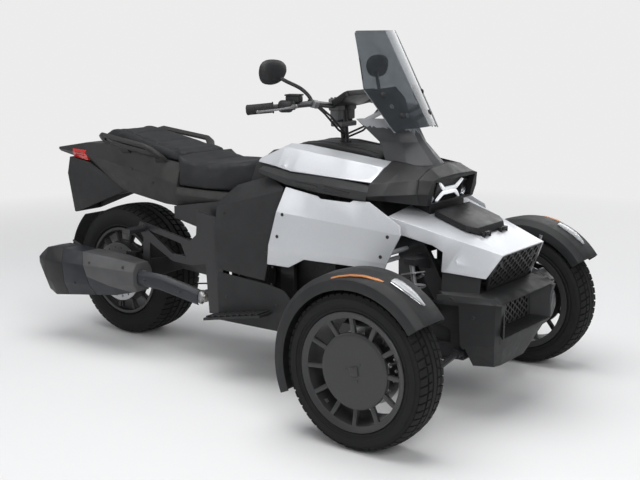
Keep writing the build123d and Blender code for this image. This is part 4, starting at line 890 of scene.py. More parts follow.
SKINS = (  # (node, edge width, finish, least fold that is rounded)
    ("side_panels", 0.0020, "silver_paint", 8.0),
    ("tank_covers", 0.0022, "silver_paint", 10.0),
    ("knee_panels", 0.0028, "dark_plastic", 10.0),
    ("shoulder_trim", 0.0018, "dark_plastic", 10.0),
    ("trunk_lid", 0.0035, "black_plastic", 20.0),
    ("console_pad", 0.0050, "dark_plastic", 12.0),
    ("tank", 0.0040, "dark_plastic", 24.0),
    ("tail_cowl", 0.0050, "grey_plastic", 8.0),
    ("rear_mudguard", 0.0016, "dark_plastic", 16.0),
    ("fender_left", 0.0016, "dark_plastic", 26.0),
    ("fender_right", 0.0016, "dark_plastic", 26.0),
)

SCREWS = (  # (node, x, z) of the screws through each side panel, cast from outside
    ("side_panels", 0.362, 0.707), ("side_panels", 0.337, 0.619), ("side_panels", 0.845, 0.672),
    ("side_panels", 0.817, 0.596), ("knee_panels", 0.020, 0.675), ("knee_panels", 0.262, 0.540),
    ("tail_cowl", -0.500, 0.742), ("tail_cowl", -0.640, 0.792), ("footboards", 0.040, 0.330),
    ("footboards", 0.300, 0.330), ("footboards", 0.395, 0.262), ("bumper", 1.150, 0.400),
)
VENTS = (  # (x, z, length, height, slope) of the slots in the shoulder trims
    (0.455, 0.824, 0.110, 0.014, -0.10), (0.600, 0.815, 0.110, 0.014, -0.14),
)
COWL_POST = (1.070, 0.588)  # (x, z) of the posts that carry the front cowl

GRAB_OUTLINE = (  # along the rail, across it
    (-0.178, -0.008), (-0.166, 0.022), (-0.142, 0.038), (0.136, 0.038), (0.176, 0.020), (0.214, -0.028),
    (0.224, -0.066), (0.186, -0.066), (0.164, -0.043), (-0.124, -0.043), (-0.164, -0.030),
)
GRAB_SLOT = (
    (-0.132, 0.016), (-0.146, -0.008), (-0.126, -0.024), (0.136, -0.024), (0.158, -0.012), (0.128, 0.016),
)


def frame_on(normal, along):
    """3x3 whose columns run along a surface, across it and out of it."""
    out = Vector(normal).normalized()
    first = (Vector(along) - out * Vector(along).dot(out)).normalized()
    return Matrix((first, out.cross(first), out)).transposed()


def cast_on(node, start, way):
    """Where a line first meets a CAD node: (point, outward normal)."""
    bm = bmesh.new()
    bm.from_mesh(NODES[node].data)
    bmesh.ops.transform(bm, matrix=NODES[node].matrix_world, verts=bm.verts)
    hit, normal, _, _ = BVHTree.FromBMesh(bm).ray_cast(Vector(start), Vector(way).normalized())
    bm.free()
    if hit is None:
        raise RuntimeError(f"nothing of {node} lies in that direction")
    return hit, normal


class TRIKE_OT_panels(bpy.types.Operator):
    """Makes the body panels with rounded edges, and their screws, vents and seams."""
    bl_idname = "trike.panels"
    bl_label = "Body panels"

    def execute(self, context):
        for node, width, finish, sharp in SKINS:
            softened(node, width, finish, sharp)
        self.nose()
        bm = copied("headlight_pod")
        groove(bm, (0.893, 0, 0.8), (1, 0, 0.05), 0.0016, 0.0022)
        soften(bm, 0.0018, 22.0)
        skinned("headlight_pod", bm, "black_plastic", crease=14.0)
        bm = copied("bumper")
        soften(bm, 0.0018, 36.0)
        skinned("bumper", bm, "dark_plastic", crease=14.0)
        for side, word in ((1, "left"), (-1, "right")):
            heads = {}
            for node, x, z in SCREWS:
                spot, normal = cast_on(node, (x, side * 0.8, z), (0, -side, 0))
                screw(heads.setdefault(node_body(node), bmesh.new()), spot, normal, 0.0068, 0.0026)
            for body, bm in heads.items():
                publish(bm, f"panel_screws_{body}_{word}", body, "frame_paint")
            slots, rims = bmesh.new(), bmesh.new()
            for x, z, length, height, slope in VENTS:
                spot, normal = cast_on("shoulder_trim", (x, side * 0.8, z), (0, -side, 0))
                facing = frame_on(normal, (1, 0, slope))
                slab(slots, spot - normal * 0.0006, (length, height, 0.0022), facing, 0.0009, 1)
                for turn in (-1, 1):
                    slab(rims, spot + facing @ Vector((0, turn * height * 0.62, 0.0)),
                         (length * 1.04, 0.0030, 0.0036), facing, 0.0009, 1)
            publish(slots, f"vent_slots_{word}", "chassis", "black_plastic")
            publish(rims, f"vent_lips_{word}", "chassis", "dark_plastic")
        self.tower()
        walls = bmesh.new()
        for side in (-1, 1):
            slab(walls, (0.9615, side * 0.174, 0.4035), (0.177, 0.004, 0.357), bevel=0.001, segments=1)
        publish(walls, "splash_walls", "chassis", "dark_plastic")
        self.grab_rails()
        self.tank_ribs()
        self.piping()
        return {"FINISHED"}

    def nose(self):
        """Front cowl with its fixing posts flush and the lid's hinge lugs black."""
        bm = copied("front_cowl")
        for vert in bm.verts:
            x, y, z = vert.co
            along, up = x - COWL_POST[0], z - COWL_POST[1]
            proud = abs(y) - (0.2274 - 0.23 * up - 0.315 * along)
            if hypot(along, up) < 0.030 and proud > 0.0006:
                bmesh.ops.translate(bm, verts=[vert], vec=(0, -proud if y > 0 else proud, 0))
        soften(bm, 0.0018, 34.0)
        for face in bm.faces:
            middle = face.calc_center_median()
            lug = 1.096 < middle.x < 1.118 and 0.030 < abs(middle.y) < 0.098 and middle.z > 0.664
            face.material_index = 1 if lug else 0
        skinned("front_cowl", bm, ["silver_paint", "black_plastic"])

    def tower(self):
        """Screen tower with the lighter wings that carry the screen."""
        bm = copied("screen_tower")
        soften(bm, 0.0030, 22.0)
        for face in bm.faces:
            middle = face.calc_center_median()
            wing = middle.z > 1.020 + abs(middle.y) * 0.2 and middle.x > 0.60
            face.material_index = 1 if wing else 0
        skinned("screen_tower", bm, ["tower_metal", "wing_grey"])

    def grab_rails(self):
        """Flat hand rails with a long slot, each carried by two brackets on the tail."""
        along = Vector((0.992, 0.046, -0.12)).normalized()
        out = Vector((0.12, -0.661, 0.74)).normalized()
        across = out.cross(along)
        rail_height = 0.016
        middle = Vector((-0.630, 0.179, 0.908)) - out * rail_height / 2
        bm = bmesh.new()

        def ring(points, side):
            spots = [middle + along * x + across * y for x, y in points]
            verts = [bm.verts.new((spot.x, spot.y * side, spot.z)) for spot in spots]
            return [bm.edges.new(pair) for pair in zip(verts, verts[1:] + verts[:1])]

        for side in (-1, 1):
            loops = ring(GRAB_OUTLINE, side) + ring(GRAB_SLOT, side)
            faces = bmesh.ops.bridge_loops(bm, edges=loops)["faces"]
            made = bmesh.ops.extrude_face_region(bm, geom=faces, use_keep_orig=True)["geom"]
            top = [item for item in made if isinstance(item, bmesh.types.BMVert)]
            bmesh.ops.translate(bm, verts=top, vec=Vector((out.x, out.y * side, out.z)) * rail_height)
        bmesh.ops.recalc_face_normals(bm, faces=bm.faces)
        soften(bm, 0.0035, 30.0)
        corners = ((-1, -0.006), (1, -0.006), (1, 0.005), (-1, 0.005))
        for side in (-1, 1):
            for top, foot in (((-0.700, 0.155, 0.896), (-0.680, 0.100, 0.835)),
                              ((-0.450, 0.158, 0.852), (-0.460, 0.116, 0.795))):
                bridged(bm, [[(x + dx * width, side * (y + dy), z) for dx, dy in corners]
                             for (x, y, z), width in ((foot, 0.024), (top, 0.030))])
        made = publish(bm, "flat_grab_rails", "chassis", "grey_plastic")
        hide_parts("grab_rails")

    def tank_ribs(self):
        """Short ribs on the tank's sides."""
        bm = bmesh.new()
        for side in (-1, 1):
            for index in range(5):
                x = 0.50 + index * 0.042
                spot, normal = cast_on("tank", (x, side * 0.8, 0.79), (0, -side, 0))
                facing = frame_on(normal, (1, 0, 0.3))
                slab(bm, spot + normal * 0.004, (0.006, 0.070, 0.009), facing, 0.0015, 1)
        publish(bm, "tank_side_ribs", "chassis", "dark_plastic")

    def piping(self):
        """Piping along the console pad."""
        bm = bmesh.new()
        for y in (-0.075, 0.075):
            line = []
            for step in range(13):
                x = 0.275 + step * 0.030
                spot, normal = cast_on("console_pad", (x, y, 1.3), (0, 0, -1))
                line.append(spot + normal * 0.0005)
            tube(bm, line, 0.0026, 8)
        publish(bm, "console_piping", "chassis", "black_plastic")


# ---------------------------------------------------------------- lamps
def bridged(bm, rings):
    """Closed form through rings of points, with a cap at each end."""
    loops = []
    for ring in rings:
        verts = [bm.verts.new(point) for point in ring]
        loops.append([bm.edges.new(pair) for pair in zip(verts, verts[1:] + verts[:1])])
    for before, after in zip(loops, loops[1:]):
        bmesh.ops.bridge_loops(bm, edges=before + after)
    for loop in (loops[0], loops[-1]):
        bmesh.ops.edgeloop_fill(bm, edges=loop)


def arc_strip(bm, centre, stations, side, thickness=0.006):
    """Strip that follows a wheel arch; stations are (degrees, radius, inner y, outer y)."""
    rings = []
    for degrees, radius, inner, outer in stations:
        out = spoke(radians(degrees))
        shoulder = thickness * 0.7
        section = ((inner, 0.0), (inner, shoulder), ((inner + outer) / 2, thickness), (outer, shoulder),
                   (outer, 0.0))
        rings.append([centre + out * (radius + lift) + Vector((0, side * y, 0)) for y, lift in section])
    bridged(bm, rings)


AMBER_STATIONS = (  # (degrees round the arch, inner y, outer y) from the wheel's middle
    (104, 0.079, 0.083), (99, 0.071, 0.083), (91, 0.062, 0.079), (83, 0.055, 0.073), (75, 0.047, 0.065),
    (71, 0.047, 0.056),
)


class TRIKE_OT_lamps(bpy.types.Operator):
    """Makes the headlamps with their light bars, the fender lamps and markers, and the tail lamps."""
    bl_idname = "trike.lamps"
    bl_label = "Lamps"

    def execute(self, context):
        self.headlamps()
        for side, word in ((1, "left"), (-1, "right")):
            self.fender_lamps(side, word)
        self.tail_lamps()
        return {"FINISHED"}

    def headlamps(self):
        """Two forked light bars that meet in a dark recess, with a small lamp and hoods at each side."""
        body = node_body("headlamps")
        out = Vector((80, 0, -20)).normalized()
        face = Matrix(((0, 1, 0), tuple(out.cross(Vector((0, 1, 0)))), tuple(out))).transposed()
        up = Vector(face.col[1])
        up = up if up.z > 0 else -up
        origin = Vector((0.885, 0, 0.776))

        def at(y, z, depth=0.0):
            return origin + Vector((0, y, 0)) + up * z + out * depth

        bars, bowls, domes, dark = bmesh.new(), bmesh.new(), bmesh.new(), bmesh.new()
        slab(dark, at(0, 0.040, 0.0015), (0.284, 0.074, 0.004), face, 0.001, 1)
        for turn in (-1, 1):
            reach = [(0.000, 0.0012, 0.0138), (0.044, 0.0012, 0.0138), (0.058, 0.0095, 0.0235),
                     (0.082, 0.0305, 0.0375)]
            line = [(-y, near, far) for y, near, far in reversed(reach)] + reach[1:]
            outline = [at(y, 0.040 + turn * near, 0.012) for y, near, far in line]
            outline += [at(y, 0.040 + turn * far, 0.012) for y, near, far in reversed(line)]
            plate(bars, outline, out * 0.010, 0.0012, 2)
        for side in (-1, 1):
            spot = at(side * 0.118, 0.017, 0.003)
            turned(bowls, [(0.000, 0.0), (0.002, 0.0100), (0.010, 0.0145), (0.012, 0.0160), (0.008, 0.0168),
                           (-0.001, 0.0168), (-0.001, 0.0)], spot, out, 32)
            turned(domes, [(0.004, 0.0136), (0.010, 0.0128), (0.015, 0.0090), (0.018, 0.0045), (0.0185, 0.0)],
                   spot, out, 32)
            for z, tilt in ((0.066, -0.20), (0.036, 0.0)):
                slab(dark, at(side * 0.118, z, 0.007), (0.036, 0.010, 0.010),
                     Matrix.Rotation(side * tilt, 3, out) @ face, 0.0020, 2)
            slab(dark, at(side * 0.095, 0.040, 0.008), (0.005, 0.072, 0.016), face, 0.0015, 1)
        made = publish(bars, "headlamp_bars", body, "lit_bar")
        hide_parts("headlamps")
        publish(bowls, "headlamp_bowls", body, "chrome")
        publish(domes, "headlamp_domes", body, "lamp_glass")
        publish(dark, "headlamp_hoods", body, "black_plastic")

    def fender_lamps(self, side, word):
        node = f"fender_lamps_{word}"
        body = node_body(node)
        centre = AXLES[f"front_{word}"]
        white = bmesh.new()
        arc_strip(white, centre, [(69, 0.3425, -0.008, 0.028), (65, 0.3425, -0.012, 0.030),
                                  (60, 0.3425, -0.012, 0.027), (54, 0.3425, -0.008, 0.021),
                                  (49, 0.3425, -0.003, 0.012), (46.5, 0.3425, 0.001, 0.004)], side, 0.0085)
        soften(white, 0.0014, 20.0)
        made = publish(white, f"fender_lamp_{word}", body, "lamp_lens")
        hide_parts(node)
        edge = bmesh.new()
        arc_strip(edge, centre, [(68, 0.3425, 0.034, 0.039), (62, 0.3425, 0.034, 0.039),
                                 (55, 0.3425, 0.027, 0.031), (48, 0.3425, 0.013, 0.016)], side, 0.0045)
        publish(edge, f"fender_lamp_trim_{word}", body, "chrome")
        amber = bmesh.new()
        stations = []
        for degrees, inner, outer in AMBER_STATIONS:
            out = spoke(radians(degrees))
            above = centre + out * 0.6 + Vector((0, side * (inner + outer) / 2, 0))
            spot, _ = cast_on(f"fender_{word}", above, -out)
            stations.append((degrees, (spot - centre).dot(out) - 0.002, inner, outer))
        arc_strip(amber, centre, stations, side, 0.0060)
        soften(amber, 0.0010, 24.0)
        made = publish(amber, f"fender_marker_{word}", body, "amber_lens")
        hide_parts(node)

    def tail_lamps(self):
        body = node_body("tail_lamp")
        softened("tail_lamp", 0.0022, "red_lens", 20.0)
        bm = bmesh.new()
        for side in (-1, 1):
            for z in (0.824, 0.834):
                spot, normal = cast_on("tail_lamp", (-1.055, side * 0.4, z), (0, -side, 0))
                slab(bm, spot, (0.070, 0.0018, 0.003), frame_on(normal, (1, 0, 0)), 0.0006, 1)
        publish(bm, "tail_lamp_ribs", body, "black_plastic")


# ---------------------------------------------------------------- bars, mirrors and screen
def rounded_pentagon(width, height, count=30):
    """Outline of a mirror head as (across, up), wider towards its outer top corner."""
    points = []
    for index in range(count):
        turn = tau * index / count
        c, s = cos(turn), sin(turn)
        reach = (abs(c) ** 2.9 + abs(s) ** 2.9) ** (-1 / 2.9)
        across, up = c * reach * width / 2, s * reach * height / 2
        squeeze = 1.0 - 0.26 * max(0.0, -up / (height / 2)) * (1.0 if across < 0 else 0.45)
        points.append((across * squeeze, up * (1.0 - 0.10 * max(0.0, -across / (width / 2)))))
    return points


def ring_form(bm, outline, place, rings):
    """Closed form through scaled copies of an outline; rings are (depth, scale)."""
    bridged(bm, [[place @ Vector((x * scale, y * scale, depth)) for x, y in outline]
                 for depth, scale in rings])


class TRIKE_OT_cockpit(bpy.types.Operator):
    """Makes the grips, levers, switches, mirrors, instrument face, bar clamps and screen fasteners."""
    bl_idname = "trike.cockpit"
    bl_label = "Bars, mirrors and screen"

    def execute(self, context):
        self.grips()
        self.controls()
        self.mirrors()
        self.clamps()
        self.instruments()
        self.screen()
        return {"FINISHED"}

    def grips(self):
        bm = bmesh.new()
        for side in (-1, 1):
            start, end = Vector((0.352, side * 0.322, 1.118)), Vector((0.262, side * 0.385, 1.108))
            run = (end - start).normalized()
            start = start + run * 0.020
            length = (end - start).length + 0.012
            outline = [(0.0, 0.0122), (0.0, 0.0215), (0.0030, 0.0222), (0.0055, 0.0192)]
            ribs = 9
            gap = (length - 0.020) / ribs
            for rib in range(ribs):
                at = 0.008 + rib * gap
                outline += [(at, 0.0188), (at + gap * 0.12, 0.0194), (at + gap * 0.88, 0.0194)]
            outline += [(length - 0.011, 0.0190), (length - 0.008, 0.0198), (length - 0.003, 0.0198),
                        (length, 0.0176), (length + 0.002, 0.0130), (length + 0.002, 0.0)]
            turned(bm, outline, start, run, 36)
        made = publish(bm, "ribbed_grips", node_body("grips"), "grip_rubber", crease=40.0)
        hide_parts("grips")

    def controls(self):
        body = node_body("hand_controls")
        pods, levers, buttons = bmesh.new(), bmesh.new(), bmesh.new()
        for side in (-1, 1):
            run = (Vector((0.358, side * 0.316, 1.119)) - Vector((0.386, side * 0.294, 1.122))).normalized()
            upward = Vector((0, 0, 1))
            facing = frame_on(upward, run)
            middle = Vector((0.372, side * 0.305, 1.1205))
            slab(pods, middle, (0.058, 0.048, 0.046), facing, 0.016, 5)
            slab(pods, middle - run * 0.030 + upward * 0.001, (0.016, 0.036, 0.034), facing, 0.006, 3)
            back = facing @ Vector((0, 1, 0))
            back = back if back.x < 0 else -back
            for step, height in ((-0.012, 0.010), (0.0, 0.010), (0.012, 0.010), (-0.006, -0.008),
                                 (0.009, -0.008)):
                spot = middle + run * step + back * 0.0255 + upward * height
                slab(buttons, spot, (0.009, 0.004, 0.010), facing, 0.0015, 2)
            pivot = Vector((0.408, side * 0.292, 1.121))
            line = curved([pivot, (0.414, side * 0.316, 1.119), (0.392, side * 0.352, 1.114),
                           (0.352, side * 0.386, 1.108), (0.322, side * 0.410, 1.104)], 6)
            widths = [0.0075 - 0.0032 * min(1.0, index / 12) for index in range(len(line))]
            tube(levers, line, widths, 10)
            bmesh.ops.create_uvsphere(levers, u_segments=12, v_segments=8, radius=0.0066,
                                      matrix=Matrix.Translation(line[-1]))
            slab(levers, pivot + Vector((-0.006, 0, 0)), (0.030, 0.026, 0.016), facing, 0.004, 2)
        # fluid tank on the right, with its cap
        slab(pods, (0.392, -0.278, 1.148), (0.056, 0.046, 0.026), Matrix.Rotation(0.25, 3, "Z"), 0.007, 4)
        slab(pods, (0.392, -0.278, 1.1625), (0.060, 0.050, 0.006), Matrix.Rotation(0.25, 3, "Z"), 0.0025, 3)
        rod(pods, (0.392, -0.278, 1.124), (0.392, -0.278, 1.141), 0.011)
        made = publish(pods, "switch_pods", body, "dark_plastic")
        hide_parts("hand_controls")
        publish(levers, "hand_levers", body, "spring_steel")
        publish(buttons, "switch_buttons", body, "grip_rubber")

    def mirrors(self):
        body = node_body("mirrors")
        shells, panes, stems = bmesh.new(), bmesh.new(), bmesh.new()
        for side in (-1, 1):
            face = Vector((-1, 0, 0.1)).normalized()
            across = Vector((0, side, 0))
            up = face.cross(across)
            up = up if up.z > 0 else -up
            middle = Vector((0.345, side * 0.351, 1.250))
            forward = -face
            place = Matrix((across, up, forward)).transposed().to_4x4()
            place.translation = middle
            outline = rounded_pentagon(0.150, 0.094)
            ring_form(shells, outline, place, [(-0.002, 0.93), (-0.004, 0.97), (-0.002, 1.0), (0.006, 1.0),
                                               (0.014, 0.93), (0.021, 0.78), (0.025, 0.55), (0.027, 0.25)])
            place.translation = middle + face * 0.0042
            ring_form(panes, outline, place, [(0.0030, 0.925), (0.0, 0.925), (-0.0006, 0.90)])
            line = curved([(0.440, side * 0.236, 1.126), (0.436, side * 0.238, 1.152),
                           (0.412, side * 0.262, 1.186), (0.378, side * 0.306, 1.214),
                           (0.358, side * 0.330, 1.232)], 6)
            tube(stems, line, 0.0072, 14)
            rod(stems, (0.440, side * 0.236, 1.126), (0.437, side * 0.2375, 1.146), 0.0100, sides=6)
            rod(stems, line[-1], line[-1] + (line[-1] - line[-2]).normalized() * 0.014, 0.0085, 0.0105, 16)
        made = publish(shells, "mirror_shells", body, "dark_plastic", crease=50.0)
        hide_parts("mirrors")
        publish(panes, "mirror_panes", body, "mirror_glass")
        publish(stems, "mirror_stems", body, "frame_paint")

    def clamps(self):
        body = node_body("handlebar")
        bm, bolts = bmesh.new(), bmesh.new()
        for side in (-1, 1):
            slab(bm, (0.4185, side * 0.040, 1.114), (0.050, 0.048, 0.046), bevel=0.006, segments=3)
            slab(bm, (0.4185, side * 0.040, 1.074), (0.040, 0.038, 0.044), bevel=0.005, segments=3)
            for x in (0.403, 0.434):
                for y in (0.028, 0.052):
                    screw(bolts, (x, side * y, 1.137), (0, 0, 1), 0.0048, 0.004)
        slab(bm, (0.424, 0.0, 1.036), (0.056, 0.104, 0.020), bevel=0.005, segments=3)
        slab(bm, (0.4185, 0.0, 1.122), (0.030, 0.036, 0.020), bevel=0.004, segments=3)
        publish(bm, "bar_clamps", body, "clamp_grey")
        publish(bolts, "bar_clamp_bolts", body, "frame_paint")
        bm = bmesh.new()
        for side in (-1, 1):
            for y, z in ((0.238, 1.129), (0.212, 1.123)):
                rod(bm, (0.447, side * y, z - 0.014), (0.447, side * y, z + 0.008), 0.0072, sides=12)
            rod(bm, (0.452, side * 0.218, 1.126), (0.452, side * 0.246, 1.130), 0.0155, sides=20)
        publish(bm, "hose_fittings", body, "bare_aluminium")

    def instruments(self):
        body = node_body("display")
        out = Vector((-0.5, 0, 0.85)).normalized()
        facing = frame_on(out, (0, 1, 0))
        middle = Vector((0.470, 0, 1.150))
        softened("display", 0.0050, "black_plastic", 30.0, 3)
        bm = bmesh.new()
        slab(bm, middle + out * 0.0006, (0.190, 0.074, 0.0014), facing, 0.0006, 1)
        publish(bm, "display_glass", body, "display_glass")
        bm = bmesh.new()
        for index in range(21):
            turn = radians(-120 + index * 12)
            way = Vector((sin(turn), cos(turn), 0))
            long = 0.005 if index % 5 == 0 else 0.003
            spot = middle + out * 0.0015 + facing @ (way * 0.028)
            slab(bm, spot, (0.0010, long, 0.0003), facing @ Matrix.Rotation(-turn, 3, "Z"), 0.0)
        for index in range(6):
            slab(bm, middle + out * 0.0015 + facing @ Vector((0.060, -0.020 + index * 0.008, 0)),
                 (0.024 - index * 0.002, 0.003, 0.0003), facing, 0.0)
        publish(bm, "display_marks", body, "lit_bar")

    def screen(self):
        """The four fasteners that hold the screen to the tower's wings."""
        screws, washers = bmesh.new(), bmesh.new()
        washer = [(-0.0005, 0.0), (-0.0005, 0.0110), (0.0015, 0.0110), (0.0022, 0.0095), (0.0022, 0.0)]
        for side in (-1, 1):
            for y, z in ((0.138, 1.166), (0.098, 1.088)):
                spot, normal = cast_on("windscreen", (1.3, side * y, z), (-1, 0, 0))
                turned(washers, washer, spot, normal, 24)
                screw(screws, spot + normal * 0.002, normal, 0.0064, 0.0034)
        publish(screws, "screen_screws", "chassis", "frame_paint")
        publish(washers, "screen_washers", "chassis", "grip_rubber")


# ---------------------------------------------------------------- running gear
# planes that part the silencer, as (point, normal): its cover's rear and lower edge, and the end cap's edge
COVER_REAR = ((-0.745, 0, 0.385), (1, 0, 0.43))
COVER_LOW = ((-0.725, 0, 0.330), (0.168, 0, 1))
CAP_FRONT = ((-0.884, 0, 0.400), (1, 0, 0.12))


class TRIKE_OT_running_gear(bpy.types.Operator):
    """Makes the silencer's bands, engine covers, brake parts, spring collars, footboard pads and axle nuts.
    """
    bl_idname = "trike.running_gear"
    bl_label = "Running gear"

    def execute(self, context):
        self.silencer()
        self.engine()
        self.brakes()
        self.springs()
        self.boards()
        return {"FINISHED"}

    def silencer(self):
        bm = copied("muffler")
        for spot, across in (COVER_REAR, CAP_FRONT):
            groove(bm, spot, across, 0.0022, 0.0032)
        bmesh.ops.bisect_plane(bm, geom=bm.verts[:] + bm.edges[:] + bm.faces[:], plane_co=COVER_LOW[0],
                               plane_no=COVER_LOW[1])
        for face in bm.faces:
            past = [(face.calc_center_median() - Vector(spot)).dot(Vector(across)) > 0
                    for spot, across in (COVER_REAR, COVER_LOW, CAP_FRONT)]
            face.material_index = 0 if past[0] and past[1] else 1 if past[2] else 2
        soften(bm, 0.0060, 26.0, 3)
        made = publish(bm, "silencer_shell", "chassis", ["silencer_grey", "silencer_band", "black_plastic"])
        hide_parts("muffler")
        bm, bolts = bmesh.new(), bmesh.new()
        for x, z in ((-0.500, 0.395), (-0.800, 0.290), (-0.705, 0.392)):
            spot, normal = cast_on("muffler", (x, -0.8, z), (0, 1, 0))
            screw(bolts, spot, normal, 0.0070, 0.0030)
        spot, normal = cast_on("muffler", (-1.3, -0.300, 0.360), (1, 0, 0))
        turned(bm, [(-0.004, 0.0), (-0.004, 0.030), (0.010, 0.030), (0.012, 0.028), (0.010, 0.025),
                    (0.001, 0.024), (0.001, 0.0)], spot, normal, 40)
        publish(bm, "silencer_outlet", "chassis", "steel_pipe")
        publish(bolts, "silencer_screws", "chassis", "frame_paint")
        bm = bmesh.new()
        band = [(-0.010, 0.0262), (-0.010, 0.0292), (-0.008, 0.0300), (0.008, 0.0300), (0.010, 0.0292),
                (0.010, 0.0262)]
        turned(bm, band, (-0.437, -0.300, 0.352), (-110, -24, 8), 36, closed=True)
        turned(bm, band, (-0.160, -0.220, 0.286), (170, 56, -58), 36, closed=True)
        publish(bm, "pipe_clamps", "chassis", "bare_aluminium")
        softened("heat_shield", 0.0010, "shield_metal", 14.0)

    def engine(self):
        low, high = (Vector(corner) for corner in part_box("engine"))
        bm, bolts = bmesh.new(), bmesh.new()
        for side in (-1, 1):
            face_y = high.y if side > 0 else low.y
            middle = Vector((0.100, face_y, (low.z + high.z) / 2 - 0.02))
            radius = 0.105
            turned(bm, [(-0.004, 0.0), (-0.004, radius), (0.006, radius), (0.012, radius - 0.006),
                        (0.013, radius - 0.030), (0.009, radius - 0.036), (0.009, 0.030), (0.014, 0.026),
                        (0.015, 0.0)], middle, (0, side, 0), 48)
            for index in range(8):
                out = spoke(index * tau / 8 + 0.3)
                spot = middle + out * (radius - 0.010) + Vector((0, side * 0.006, 0))
                hex_bolt(bolts, spot, (0, side, 0), 0.0055, 0.007)
        for index in range(9):
            x = high.x - 0.03 - index * 0.022
            slab(bm, (x, 0, high.z - 0.004), (0.006, (high.y - low.y) * 0.9, 0.020), bevel=0.0015, segments=1)
        publish(bm, "engine_covers", "chassis", "engine_casting")
        publish(bolts, "engine_bolts", "chassis", "bare_aluminium")

    def brakes(self):
        for side, word in ((1, "left"), (-1, "right")):
            body = node_body(f"upright_{word}")
            wheel = AXLES[f"front_{word}"]
            bm, bolts = bmesh.new(), bmesh.new()
            out = spoke(radians(50))
            along = Vector((-out.z, 0, out.x))
            face = Vector((0, side, 0))
            middle = Vector((wheel.x, side * 0.556, wheel.z)) + out * 0.119 + face * 0.056
            facing = Matrix((along, out, face)).transposed()
            slab(bm, middle + face * 0.002, (0.070, 0.046, 0.006), facing, 0.002, 2)
            for step in (-0.019, 0.019):
                turned(bm, [(0.0, 0.0), (0.0, 0.0155), (0.0065, 0.0150), (0.0080, 0.0130), (0.0080, 0.0)],
                       middle + along * step, face, 28)
            for step in (-0.031, 0.031):
                screw(bolts, middle + along * step + out * 0.017 + face * 0.004, face, 0.0045, 0.003)
            publish(bm, f"caliper_face_{word}", body, "bare_aluminium")
            publish(bolts, f"caliper_bolts_{word}", body, "frame_paint")
        bm = bmesh.new()
        for side in (-1, 1):
            spot, normal = cast_on("swingarm", (-0.766, side * 0.6, 0.303), (0, -side, 0))
            turned(bm, [(-0.001, 0.0), (-0.001, 0.030), (0.003, 0.030), (0.004, 0.028), (0.004, 0.0)],
                   spot, normal, 32)
            verts = rod(bm, spot + normal * 0.003, spot + normal * 0.018, 0.021, sides=6)
            rounded_edges(bm, edges_of(verts), 0.0014, 2)
            rod(bm, spot + normal * 0.016, spot + normal * 0.024, 0.010, 0.009, 20)
        publish(bm, "axle_nuts", node_body("swingarm"), "bare_aluminium")

    def springs(self):
        bm = bmesh.new()
        for side in (-1, 1):
            top, foot = Vector((0.960, side * 0.344, 0.604)), Vector((1.052, side * 0.386, 0.222))
            run = (top - foot).normalized()
            for at, radius in ((0.053, 0.046), (0.046, 0.040)):
                spot = foot + run * at
                outline = [(0.0, 0.0172), (0.0, radius - 0.002), (0.0015, radius), (0.005, radius),
                           (0.0065, radius - 0.002), (0.0065, 0.0172)]
                turned(bm, outline, spot, run, 36, closed=True)
        publish(bm, "spring_collars", "chassis", "bare_aluminium")

    def boards(self):
        bm = bmesh.new()
        for side in (-1, 1):
            for step in range(8):
                x = 0.0085 + step * 0.033
                z = 0.246 + (x + 0.024) * 0.056 / 0.300 + 0.0038
                rising = Matrix.Rotation(-0.185, 3, "Y")
                slab(bm, (x, side * 0.3275, z), (0.015, 0.060, 0.004), rising, 0.0014, 1)
        publish(bm, "board_pads", "chassis", "grip_rubber")


